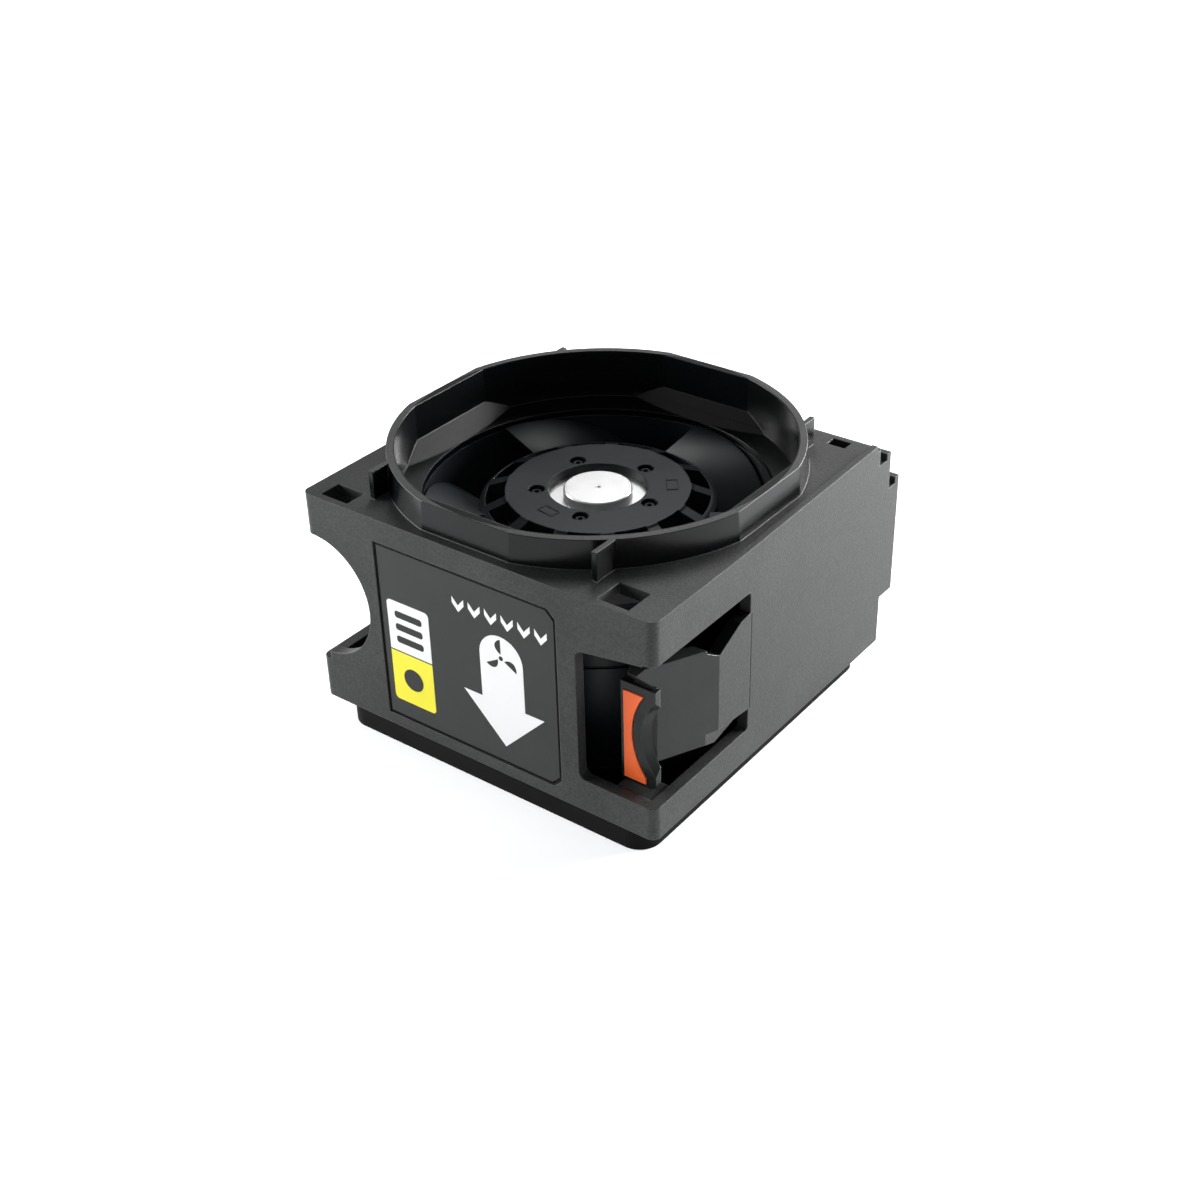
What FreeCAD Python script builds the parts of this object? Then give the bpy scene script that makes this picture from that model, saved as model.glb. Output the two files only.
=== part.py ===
import FreeCAD, Part
import math
import os
import re
import Sketcher
from FreeCAD import Placement, Rotation, Vector

# A hot-plug server fan module: an axial fan in a moulded carrier with a thumb latch.
# Frame, in millimetres: the fan axis is Z, air goes in at the top and leaves at the bottom,
# and the outlet foot stands on z = 0.  -Y is the labelled face, +X the side with the latch
# and +Y the side that plugs into the fan board.

doc = FreeCAD.newDocument("ServerFanModule")
sheet = doc.addObject("Spreadsheet::Sheet", "Dims")

# Driving dimensions of the module.
DIMS = {
    # carrier: distances of its faces from the fan axis, and heights above the foot
    "side_left": 33.4, "side_right": 36.6, "front": 35.5, "top_back": 30.0,
    "step_back": 33.8, "low_back": 33.2, "far_back": 37.3,
    "foot_top": 4.8, "deck": 44.55, "wall": 2.0, "corner": 1.5,
    "low_step": 13.9, "mid_step": 36.7, "high_step": 42.6, "lip_high": 1.2, "lip_thick": 1.3,
    # inlet collar: a ring cut by four flats, and its lead-in
    "collar_top": 49.55, "collar_radius": 35.05, "collar_flat": 33.93, "draft": 0.5,
    "mouth_radius": 33.2, "mouth_flat": 31.95, "flat_edge": 43.2,
    "lead_top": 40.7, "throat_top": 39.8, "throat_low": 38.6, "bore": 29.5,
    "fin": 0.9, "rib": 1.2,
    # side windows and finger cut-out
    "window_low": 10.8, "window_high": 36.9, "window_back": 9.65, "window_left": 22.1,
    "window_slant": 2.2, "window_round": 1.5,
    "scoop_radius": 11.4, "scoop_across": 32.0, "scoop_up": 25.6,
    # label and its recess
    "label_left": 18.25, "label_right": 18.6, "label_low": 7.0, "label_high": 40.3,
    "label_thick": 0.35, "label_sink": 0.5, "label_gap": 0.25, "label_cut": 1.5,
    # outlet cover
    "foot_left": 30.0, "foot_right": 34.0, "foot_front": 34.4, "foot_back": 32.0,
    "foot_round": 4.0, "ring_wide": 1.3, "ring_deep": 2.0, "ring_first": 6.0, "ring_step": 5.2,
    "ring_lift": 0.4, "outlet": 28.6,
    # duct and motor base
    "duct_wall": 1.5, "low_flange": 1.4, "high_flange": 1.2, "duct_step": 24.0,
    "base_radius": 19.4, "base_low": 5.2, "base_thick": 1.8,
    "seat_radius": 7.6, "seat_top": 9.0, "vane_top": 11.2, "vane_thick": 1.2, "socket": 5.05,
    # bearing tube and bearings
    "tube_radius": 5.0, "tube_low": 7.0, "tube_top": 29.8, "tube_step": 3.3,
    "race_radius": 4.0, "race_high": 4.0, "race_inner": 3.3, "cone_outer": 2.2,
    "ball": 0.53, "ball_ring": 2.75, "shaft": 1.5, "fit": 0.02,
    "low_bearing": 11.0, "high_bearing": 25.6, "shaft_low": 9.6,
    # rotor
    "hub_radius": 20.0, "hub_low": 12.2, "hub_wall": 1.7, "hub_top": 39.75, "plate_radius": 15.7,
    "rim_drop": 1.55, "plate_low": 37.2, "eye": 8.4, "window_inner": 15.6, "window_outer": 18.9,
    "spoke": 2.2, "hole_ring": 10.27, "hole_wide": 1.4, "hole_deep": 0.9, "hole_pilot": 0.45,
    # blades: gap to the bore, planes of the first sections, how far the nose lies under the hub's
    # top at the root, how far the middle and the tail lie under the nose, how much each rises
    # towards the tip, and the blunt ends
    "tip_gap": 0.5, "blade_root": 11.0, "blade_middle": 20.0, "blade_thick": 1.15,
    "nose_drop": 2.55, "nose_rise": 2.4, "camber_drop": 6.0, "camber_rise": 5.8,
    "tail_drop": 21.8, "tail_rise": 8.0, "nose_blunt": 0.6, "tail_blunt": 0.7,
    "yoke_radius": 18.2, "yoke_wall": 1.0, "yoke_low": 12.6, "yoke_shoulder": 3.6, "boss": 5.8,
    "boss_hub": 3.2, "boss_deep": 4.0, "flange_radius": 9.4, "flange_low": 37.2, "disc_drop": 1.75,
    "magnet_inner": 15.1, "magnet_low": 13.4, "magnet_high": 27.4,
    "spring_radius": 2.05, "wire": 0.4,
    # stator and board
    "core_radius": 14.4, "core_low": 15.2, "core_high": 24.8, "core_hub": 7.4, "pole": 3.2,
    "shoe": 1.6, "board_radius": 15.6, "board_thick": 1.2, "board_hole": 6.2, "spool": 0.8,
    "coil": 1.5,
    # latch
    "hinge_y": 9.65, "hinge_gap": 0.05, "arm_low": 14.9, "arm_high": 33.0,
    "bend_y": 18.2, "flange_y": 31.5, "flange_thick": 1.3, "leaf_tip": 2.6,
    "tab_left": 27.5, "tab_right": 34.0, "tab_low": 11.0, "tab_high": 29.4,
    "scallop": 10.4, "scallop_x": 42.9, "scallop_z": 20.7, "pad_x": 41.5,
    "pad_thick": 0.5, "pad_sink": 0.3, "pad_left": 28.1, "pad_right": 31.8, "pad_low": 11.6,
    "pad_high": 27.9, "pad_edge": 12.3, "pad_fit": 0.1,
    # screws and plug
    "screw_radius": 1.25, "screw_long": 8.5, "head_radius": 2.3, "head_high": 1.4,
    "plug_wide": 17.0, "plug_low": 17.0, "plug_high": 26.0, "plug_out": 2.4, "plug_wall": 1.1,
    "plug_fit": 0.1, "pin": 0.64, "pin_pitch": 2.2,
}
BLADES = 5
SPOKES = 13
VANES = 7
POLES = 6
PINS = 6
BALLS = 7
RINGS = 5
SPOKE_START = 8.0
HOLE_START = 2.5
BLADE_START = 135.4
BEND_ANGLE = 15.0
SCALLOP_ANGLE = 28.5
HINGE_X = "side_right - wall / 2"
BLADE_RADIUS = "bore - tip_gap"
BLADE_END = "bore - tip_gap + 0.2"
DISC_TOP = "hub_top - disc_drop"

for row, (alias, number) in enumerate(DIMS.items(), start=1):
    sheet.set(f"A{row}", alias)
    sheet.set(f"B{row}", str(number))
    sheet.setAlias(f"B{row}", alias)
doc.recompute()

NODES = []
ACROSS, DEEP, UP = Vector(1, 0, 0), Vector(0, 1, 0), Vector(0, 0, 1)


def cells(text):
    """Write the sheet's name before each of its aliases in an expression."""
    return re.sub(r"[a-z_][a-z0-9_]*", lambda word: f"Dims.{word[0]}" if word[0] in DIMS else word[0], text)


def size(text):
    """The number that an expression gives now."""
    found = sheet.evalExpression(cells(text))
    return float(getattr(found, "Value", found))


def bind(thing, target, text):
    thing.setExpression(target, cells(text))


def node(thing, label):
    """Name a finished sub-part; its label is its file's name."""
    thing.Label = label
    NODES.append(thing)
    return thing


# ---- primitives and booleans, all sized from the sheet ----

def block(name, x, y, z):
    """A box between two planes on each axis."""
    made = doc.addObject("Part::Box", name)
    for side, edge, (low, high) in zip(("Length", "Width", "Height"), "xyz", (x, y, z)):
        bind(made, side, f"({high}) - ({low})")
        bind(made, f"Placement.Base.{edge}", low)
    return made


def rod(name, radius, z, at=("0", "0")):
    """An upright cylinder between two heights."""
    made = doc.addObject("Part::Cylinder", name)
    bind(made, "Radius", radius)
    bind(made, "Height", f"({z[1]}) - ({z[0]})")
    for edge, place in zip("xyz", (at[0], at[1], z[0])):
        bind(made, f"Placement.Base.{edge}", place)
    return made


def rod_along_y(name, radius, x, z, y):
    """A cylinder along Y between two depths."""
    made = doc.addObject("Part::Cylinder", name)
    made.Placement = Placement(Vector(), Rotation(Vector(1, 0, 0), -90))
    bind(made, "Radius", radius)
    bind(made, "Height", f"({y[1]}) - ({y[0]})")
    for edge, place in zip("xyz", (x, y[0], z)):
        bind(made, f"Placement.Base.{edge}", place)
    return made


def frustum(name, radius_low, radius_high, z):
    made = doc.addObject("Part::Cone", name)
    bind(made, "Radius1", radius_low)
    bind(made, "Radius2", radius_high)
    bind(made, "Height", f"({z[1]}) - ({z[0]})")
    bind(made, "Placement.Base.z", z[0])
    return made


def square_frustum(name, half_low, half_high, z):
    """A tapered square block on the fan axis."""
    made = doc.addObject("Part::Wedge", name)
    made.Placement = Placement(Vector(), Rotation(Vector(1, 0, 0), 90))
    for axis in "XZ":
        bind(made, f"{axis}min", f"-({half_low})")
        bind(made, f"{axis}max", half_low)
        bind(made, f"{axis}2min", f"-({half_high})")
        bind(made, f"{axis}2max", half_high)
    bind(made, "Ymin", "0")
    bind(made, "Ymax", f"({z[1]}) - ({z[0]})")
    bind(made, "Placement.Base.z", z[0])
    return made


def join(name, *shapes):
    made = doc.addObject("Part::MultiFuse", name)
    made.Shapes = list(shapes)
    return made


def join_in_turn(name, first, others):
    """Fuse pieces one after another, for curved pieces that meet the same surface."""
    for number, other in enumerate(others):
        made = doc.addObject("Part::Fuse", f"{name}{number}")
        made.Base = first
        made.Tool = other
        first = made
    return first


def overlap(name, *shapes):
    made = doc.addObject("Part::MultiCommon", name)
    made.Shapes = list(shapes)
    return made


def cut(name, base, *tools):
    made = doc.addObject("Part::Cut", name)
    made.Base = base
    made.Tool = tools[0] if len(tools) == 1 else join(name + "Tools", *tools)
    return made


def ring(name, outer, inner, z):
    return cut(name, rod(name + "Out", outer, z), rod(name + "In", inner, z))


def round_array(name, base, count, start=0.0):
    """The same piece repeated round the fan axis, as separate objects, from a first angle."""
    doc.recompute()
    copies = []
    for step in range(count):
        made = doc.addObject("Part::Feature", f"{name}{step}")
        made.Shape = base.Shape
        turn = Placement(Vector(), Rotation(Vector(0, 0, 1), start + 360.0 * step / count))
        made.Placement = turn.multiply(base.Placement)
        copies.append(made)
    return copies


# ---- sketches and bodies ----

def body(name):
    return doc.addObject("PartDesign::Body", name)


def sketch(owner, name, plane, offset="0"):
    """A sketch on one of the body's own planes, moved along its normal."""
    made = owner.newObject("Sketcher::SketchObject", name)
    base = [face for face in owner.Origin.OriginFeatures if face.Role == plane][0]
    made.AttachmentSupport = [(base, "")]
    made.MapMode = "FlatFace"
    bind(made, "AttachmentOffset.Base.z", offset)
    return made


def tie(drawn, kind, geometry, point, text):
    """Hold one coordinate of a point at a value of the sheet."""
    number = drawn.addConstraint(Sketcher.Constraint(kind, -1, 1, geometry, point, size(text)))
    bind(drawn, f"Constraints[{number}]", text)


def outline(drawn, corners):
    """A closed loop of straight edges through corners given as pairs of expressions."""
    spots = [Vector(size(across), size(up), 0) for across, up in corners]
    first = drawn.GeometryCount
    for start, end in zip(spots, spots[1:] + spots[:1]):
        drawn.addGeometry(Part.LineSegment(start, end), False)
    for step, (across, up) in enumerate(corners):
        following = first + (step + 1) % len(corners)
        drawn.addConstraint(Sketcher.Constraint("Coincident", first + step, 2, following, 1))
        tie(drawn, "DistanceX", first + step, 1, across)
        tie(drawn, "DistanceY", first + step, 1, up)


def pad(owner, name, drawn, long):
    made = owner.newObject("PartDesign::Pad", name)
    made.Profile = drawn
    bind(made, "Length", long)
    return made


def pocket(owner, name, drawn, deep):
    """A pocket that cuts along the sketch's own normal."""
    made = owner.newObject("PartDesign::Pocket", name)
    made.Profile = drawn
    made.Reversed = True
    bind(made, "Length", deep)
    return made


def turned(name, corners, owner=None):
    """A solid of revolution about the fan axis from (radius, height) corners."""
    owner = owner or body(name)
    drawn = sketch(owner, name + "Profile", "XZ_Plane")
    outline(drawn, corners)
    made = owner.newObject("PartDesign::Revolution", name + "Turn")
    made.Profile = drawn
    made.ReferenceAxis = (drawn, ["V_Axis"])
    made.Angle = 360
    return owner


def slab(name, corners, plane, offset, long):
    """A prism: an outline on one of the origin planes, padded along its normal."""
    owner = body(name)
    drawn = sketch(owner, name + "Outline", plane, offset)
    outline(drawn, corners)
    pad(owner, name + "Pad", drawn, long)
    return owner


def round_edges(owner, name, radius, wanted):
    """Fillet the edges of the body's latest feature that pass a test."""
    doc.recompute()
    latest = owner.Tip
    edges = [f"Edge{number}" for number, edge in enumerate(latest.Shape.Edges, start=1) if wanted(edge)]
    made = owner.newObject("PartDesign::Fillet", name)
    made.Base = (latest, edges)
    bind(made, "Radius", radius)
    return made


def filleted(name, base, radius, wanted):
    """Round the edges of a primitive or a boolean that pass a test."""
    doc.recompute()
    made = doc.addObject("Part::Fillet", name)
    made.Base = base
    made.Edges = [(number, size(radius), size(radius))
                  for number, edge in enumerate(base.Shape.Edges, start=1) if wanted(edge)]
    return made


def along(axis, **place):
    """A test for straight edges along an axis, if wanted only at given coordinates."""
    def test(edge):
        ends = [vertex.Point for vertex in edge.Vertexes]
        if len(ends) != 2 or abs((ends[1] - ends[0]).normalize().dot(axis)) < 0.999:
            return False
        return all(abs(getattr(ends[0], letter) - size(text)) < 0.01 for letter, text in place.items())
    return test


# ---- carrier ----

def shell():
    """The box of the carrier, open below, with its stepped plug side, from one side profile."""
    made = body("Shell")
    outer = sketch(made, "ShellOuter", "YZ_Plane", "-side_left")
    outline(outer, [
        ("-front", "foot_top"), ("low_back", "foot_top"), ("low_back", "low_step"), ("far_back", "low_step"),
        ("far_back", "mid_step"), ("far_back - lip_thick", "mid_step"),
        ("far_back - lip_thick", "mid_step - lip_high"), ("step_back", "mid_step - lip_high"),
        ("step_back", "high_step"), ("step_back - lip_thick", "high_step"),
        ("step_back - lip_thick", "high_step - lip_high"), ("top_back", "high_step - lip_high"),
        ("top_back", "deck"), ("-front", "deck")])
    pad(made, "ShellPad", outer, "side_left + side_right")
    for side, x in (("Left", "-side_left"), ("Right", "side_right")):
        round_edges(made, "Corner" + side, "corner", along(UP, x=x, y="-front"))
    inner = sketch(made, "ShellInner", "YZ_Plane", "-side_left + wall")
    outline(inner, [
        ("wall - front", "foot_top"), ("low_back - wall", "foot_top"), ("low_back - wall", "low_step + wall"),
        ("far_back - wall", "low_step + wall"), ("far_back - wall", "mid_step - lip_high - wall"),
        ("step_back - wall", "mid_step - lip_high - wall"),
        ("step_back - wall", "high_step - lip_high - wall"),
        ("top_back - wall", "high_step - lip_high - wall"), ("top_back - wall", "deck - wall"),
        ("wall - front", "deck - wall")])
    pocket(made, "ShellPocket", inner, "side_left + side_right - 2 * wall")
    return made


def collar():
    """The outside of the inlet ring: a drafted circle cut by a drafted square."""
    high = ("deck - 1", "collar_top")
    inside = block("CollarBounds", ("-side_left", "side_right"), ("-front", "side_right"), high)
    return overlap("CollarBlank", inside,
                   frustum("CollarRound", "collar_radius", "collar_radius - draft", high),
                   square_frustum("CollarFlats", "collar_flat", "collar_flat - draft", high))


def throat_ring():
    """The lip under the deck that carries the lead-in, kept inside the carrier's walls."""
    low = ("throat_low", "deck - 1")
    deep = ("wall / 2 - front", "top_back - wall / 2")
    inside = block("ThroatBounds", ("-side_left", "side_right"), deep, low)
    return overlap("ThroatRing", rod("ThroatRound", "mouth_radius + wall", low), inside)


def air_path():
    """What is cut away inside the collar: round mouth, four flats and the cone to the bore."""
    round_part = turned("AirRound", [
        ("0", "throat_low - 1"), ("bore", "throat_low - 1"), ("bore", "throat_top"),
        ("mouth_radius", "lead_top"), ("mouth_radius", "collar_top + 1"), ("0", "collar_top + 1")])
    flats = join("AirFlats",
                 square_frustum("AirLow", "bore", "bore", ("throat_low - 1", "throat_top")),
                 square_frustum("AirSlope", "bore", "mouth_flat", ("throat_top", "flat_edge")),
                 square_frustum("AirHigh", "mouth_flat", "mouth_flat", ("flat_edge", "collar_top + 1")))
    return overlap("AirPath", round_part, flats)


def fins():
    """Four upright guide fins on the diagonals of the collar."""
    tall = ("deck - 0.5", "collar_top")
    return [block("Fin" + where, (f"{middle} - fin / 2", f"{middle} + fin / 2"), deep, tall)
            for where, middle, deep in FINS]


# Fins: middle across, and the two ends in depth.
FINS = (
    ("FrontRight", "22.6", ("-30.8", "-26")),
    ("FrontLeft", "-21.9", ("-30.8", "-26")),
    ("BackRight", "25.9", ("22.4", "25.4")),
    ("BackLeft", "-25.7", ("22.4", "24.6")),
)
# Square holes through the deck beside the collar.
KEYHOLES = (
    ("FrontLeft", ("-30.1", "-24.3"), ("-34.3", "-30.2")),
    ("FrontRight", ("25.7", "31.4"), ("-34.3", "-28.8")),
    ("BackRight", ("28", "31.4"), ("26.9", "29.2")),
)
# Posts inside the four corners of the carrier, and the screws that enter them from below.
CORNERS = (
    ("FrontLeft", ("-side_left + 1", "-24.6"), ("1 - front", "-28.4")),
    ("FrontRight", ("27.6", "side_right - 1"), ("1 - front", "-28.4")),
    ("BackLeft", ("-side_left + 1", "-25.8"), ("24.4", "low_back - 1")),
    ("BackRight", ("27.8", "side_right - 1"), ("24.4", "low_back - 1")),
)
SCREWS = (("-27.3", "-31"), ("31", "-31"), ("-27.3", "28.4"), ("31", "28.4"))


def housing():
    posts = [block("Post" + where, x, y, ("foot_top", "window_low - 0.5")) for where, x, y in CORNERS]
    pilots = [rod(f"Pilot{number}", "screw_radius - 0.02", ("foot_top - 1", "window_low - 1.1"), at)
              for number, at in enumerate(SCREWS)]
    side_rib = slab("SideRib", [
        ("-12", "deck - 0.5"), ("top_back - 1", "deck - 0.5"), ("top_back - 1", "deck + 1"), ("-12", "deck")],
        "YZ_Plane", "side_right - rib", "rib")
    solid = join("CarrierSolid", shell(), collar(), throat_ring(), side_rib, *fins(), *posts)
    front_window = slab("FrontWindow", [
        ("window_left", "window_low"), ("side_right + 1", "window_low"),
        ("side_right + 1", "window_high"), ("side_right", "window_high"),
        ("window_left", "window_high - window_slant")], "XZ_Plane", "front - wall - 0.2", "wall + 1.2")
    round_edges(front_window, "FrontWindowRound", "window_round", along(DEEP, x="window_left"))
    side_y = ("-front - 1", "-window_back")
    side_windows = []
    for side, x, low in (("Right", ("side_right - wall - 0.2", "side_right + 1"), "window_low"),
                         ("Left", ("-side_left - 1", "-side_left + wall + 0.2"), "window_low + 1.8")):
        side_windows.append(block("Window" + side, x, side_y, (low, "window_high")))
    scoop = rod_along_y("Scoop", "scoop_radius", "-scoop_across", "scoop_up",
                        ("-front - 1", "-front + wall + 0.2"))
    recess = slab("LabelRecess", label_outline("0"), "XZ_Plane", "front - label_sink", "label_sink + 1")
    knuckle = rod("HingeSocket", "wall / 2 + hinge_gap", ("arm_low - hinge_gap", "arm_high + hinge_gap"),
                  (HINGE_X, "-hinge_y"))
    keyholes = [block("Key" + where, x, y, ("deck - wall - 1", "deck + 1")) for where, x, y in KEYHOLES]
    plug_gap = block("PlugGap", ("-plug_wide / 2", "plug_wide / 2"), ("far_back - wall - 1", "far_back + 1"),
                     ("plug_low", "plug_high"))
    made = cut("Carrier", solid, air_path(), front_window, *side_windows, scoop, recess, knuckle, plug_gap,
               *keyholes, *pilots)
    return node(made, "housing")


def label_outline(inset):
    """The label's outline, with its two right corners cut, drawn in by an inset."""
    left, right = f"{inset} - label_left", f"label_right - {inset}"
    low, high = f"label_low + {inset}", f"label_high - {inset}"
    return [(left, low), (f"{right} - label_cut", low), (right, f"{low} + label_cut"),
            (right, f"{high} - label_cut"), (f"{right} - label_cut", high), (left, high)]


def face_label():
    made = slab("LabelPlate", label_outline("label_gap"), "XZ_Plane", "front - label_sink", "label_thick")
    return node(made, "face_label")


# ---- outlet cover ----

def outlet_cover():
    """The foot plate with round corners, its outlet and the rings and ribs of the finger guard."""
    plate = block("FootPlate", ("-foot_left", "foot_right"), ("-foot_front", "foot_back"), ("0", "foot_top"))
    rounded = filleted("FootRounded", plate, "foot_round", along(UP))
    opening = rod("Outlet", "outlet", ("-1", "foot_top + 1"))
    depth = ("ring_lift", "ring_lift + ring_deep")
    rings = []
    for step in range(RINGS):
        middle = f"ring_first + {step} * ring_step"
        edges = (f"{middle} + ring_wide / 2", f"{middle} - ring_wide / 2")
        rings.append(ring(f"GuardRing{step}", *edges, depth))
    ribs = [block(f"GuardRib{side}", *pair, depth) for side, pair in (
        ("Across", (("-outlet - 0.3", "outlet + 0.3"), ("-ring_wide / 2", "ring_wide / 2"))),
        ("Along", (("-ring_wide / 2", "ring_wide / 2"), ("-outlet - 0.3", "outlet + 0.3"))))]
    centre = rod("GuardCentre", "2.2", depth)
    holes = [rod(f"CoverHole{number}", "screw_radius + 0.15", ("-1", "foot_top + 1"), at)
             for number, at in enumerate(SCREWS)]
    sinks = [rod(f"CoverSink{number}", "head_radius + 0.2", ("-1", "head_high + 0.3"), at)
             for number, at in enumerate(SCREWS)]
    made = join("Cover", cut("CoverPlate", rounded, opening, *holes, *sinks), centre, *rings, *ribs)
    return node(made, "outlet_cover")


def cover_screws():
    """Four pan-head screws that hold the cover to the carrier's corner posts."""
    pieces = []
    for number, at in enumerate(SCREWS):
        head = rod(f"ScrewHead{number}", "head_radius", ("0.3", "0.3 + head_high"), at)
        stem = rod(f"ScrewStem{number}", "screw_radius - 0.04", ("0.3", "0.3 + screw_long"), at)
        drive = rod(f"ScrewDrive{number}", "0.8", ("0", "1.1"), at)
        pieces.append(cut(f"Screw{number}", join(f"ScrewBlank{number}", head, stem), drive))
    made = doc.addObject("Part::Compound", "Screws")
    made.Links = pieces
    return node(made, "cover_screws")


# ---- fan frame ----

def fan_frame():
    """The duct with its flanges, the motor base and the curved outlet vanes between them."""
    outer = "bore + duct_wall"
    duct = turned("Duct", [
        ("bore", "foot_top"), (outer, "foot_top"), (outer, "duct_step"), (f"{outer} - 0.4", "duct_step"),
        (f"{outer} - 0.4", "throat_low"), ("bore", "throat_low")])
    room = block("FlangeBounds", ("0.1 + wall - side_left", "side_right - wall - 0.1"),
                 ("0.1 + wall - front", "low_back - wall - 0.1"), ("foot_top", "throat_low"))
    flanges = []
    for where, z in (("Low", ("foot_top", "foot_top + low_flange")),
                     ("High", ("throat_low - high_flange", "throat_low"))):
        flange = ring(f"FlangeRing{where}", f"{outer} + 2", "bore + 0.2", z)
        flanges.append(overlap(f"Flange{where}", flange, room))
    base = turned("MotorBase", [
        ("0", "base_low"), ("base_radius", "base_low"), ("base_radius", "vane_top"),
        ("base_radius - 1.2", "vane_top"), ("base_radius - 1.2", "base_low + base_thick"),
        ("seat_radius", "base_low + base_thick"), ("seat_radius", "seat_top"), ("socket", "seat_top"),
        ("socket", "tube_low"), ("0", "tube_low")])
    vane = body("Vane")
    ends = []
    for name, far, slope in (("Root", "base_radius - 0.8", 1.0), ("Tip", "bore + 0.5", 0.8)):
        drawn = sketch(vane, "Vane" + name, "YZ_Plane", far)
        lean = f"{4.2 * slope}"
        outline(drawn, [("-vane_thick / 2", "foot_top + 0.4"), ("vane_thick / 2", "foot_top + 0.4"),
                        (f"{lean} / 3 + vane_thick / 2", "(foot_top + vane_top) / 2"),
                        (f"{lean} + vane_thick / 2", "vane_top"), (f"{lean} - vane_thick / 2", "vane_top"),
                        (f"{lean} / 3 - vane_thick / 2", "(foot_top + vane_top) / 2")])
        ends.append(drawn)
    loft = vane.newObject("PartDesign::AdditiveLoft", "VaneLoft")
    loft.Profile = ends[0]
    loft.Sections = [ends[1]]
    loft.Ruled = True
    made = join("FanFrame", duct, base, *flanges, *round_array("Vane", vane, VANES))
    return node(made, "fan_frame")


# ---- rotor ----

def blade_section(owner, name, far):
    """A cambered section in a plane at a distance from the axis: two arcs and two blunt ends."""
    across = size(far)
    rise = (across - size("blade_root")) / (size(BLADE_END) - size("blade_root"))
    root = size("hub_top - nose_drop")
    nose = Vector(0.5 * across, root + rise * size("nose_rise"), 0)
    camber = Vector(-0.1 * across, root - size("camber_drop") + rise * size("camber_rise"), 0)
    tail = Vector(-0.8 * across, root - size("tail_drop") + rise * size("tail_rise"), 0)
    nose_low = nose - Vector(0, size("nose_blunt"), 0)
    camber_low = camber - Vector(0, size("blade_thick"), 0)
    tail_low = tail - Vector(0, size("tail_blunt"), 0)
    drawn = sketch(owner, name, "YZ_Plane", far)
    drawn.addGeometry(Part.Arc(nose, camber, tail), False)
    drawn.addGeometry(Part.LineSegment(tail, tail_low), False)
    drawn.addGeometry(Part.Arc(tail_low, camber_low, nose_low), False)
    drawn.addGeometry(Part.LineSegment(nose_low, nose), False)
    return drawn


def blades():
    """Five swept blades, lofted through three sections and trimmed to the hub and the bore's gap."""
    blade = body("Blade")
    sections = [blade_section(blade, f"BladeSection{number}", far)
                for number, far in enumerate(("blade_root", "blade_middle", BLADE_END))]
    loft = blade.newObject("PartDesign::AdditiveLoft", "BladeLoft")
    loft.Profile = sections[0]
    loft.Sections = sections[1:]
    blade.Placement = Placement(Vector(), Rotation(UP, BLADE_START))
    swept = ring("BladeBounds", BLADE_RADIUS, "hub_radius - hub_wall / 2", ("hub_low", "hub_top + 2"))
    return round_array("BladeCopy", overlap("BladeTrimmed", blade, swept), BLADES)


def impeller():
    """Hub and blades; the hub's face is open in a ring of windows between spokes."""
    inside = "hub_radius - hub_wall"
    rim_top = "hub_top - rim_drop"
    hub = turned("Hub", [
        (inside, "hub_low"), ("hub_radius", "hub_low"), ("hub_radius", f"{rim_top} - 0.6"),
        ("hub_radius - 0.6", rim_top), ("plate_radius + 0.4", "hub_top - 0.3"), ("plate_radius", "hub_top"),
        ("eye", "hub_top"), ("eye", DISC_TOP), ("flange_radius + 0.1", DISC_TOP),
        ("flange_radius + 0.1", "plate_low"), ("yoke_radius - yoke_shoulder", "plate_low"),
        (inside, "plate_low - yoke_shoulder + 0.8")])
    tall = ("plate_low - yoke_shoulder + 0.4", "hub_top + 1")
    bar = block("BarFirst", ("0", "window_outer + 1"), ("-spoke / 2", "spoke / 2"), tall)
    windows = cut("Windows", ring("WindowRing", "window_outer", "window_inner", tall),
                  *round_array("Bar", bar, SPOKES, SPOKE_START))
    at = ("hole_ring", "0")
    sink = rod("HoleSink", "hole_wide", ("hub_top - hole_deep", "hub_top + 1"), at)
    stub = rod("HoleStub", "hole_wide - 0.6", ("hub_top - hole_deep", "hub_top - hole_deep / 2"), at)
    middle = rod("HoleMiddle", "hole_pilot", (f"{DISC_TOP} - 0.4", "hub_top + 1"), at)
    holes = round_array("Hole", join("HoleFirst", cut("HoleRim", sink, stub), middle), BLADES, HOLE_START)
    made = join_in_turn("Impeller", cut("HubOpen", hub, windows, *holes), blades())
    return node(made, "impeller")


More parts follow.
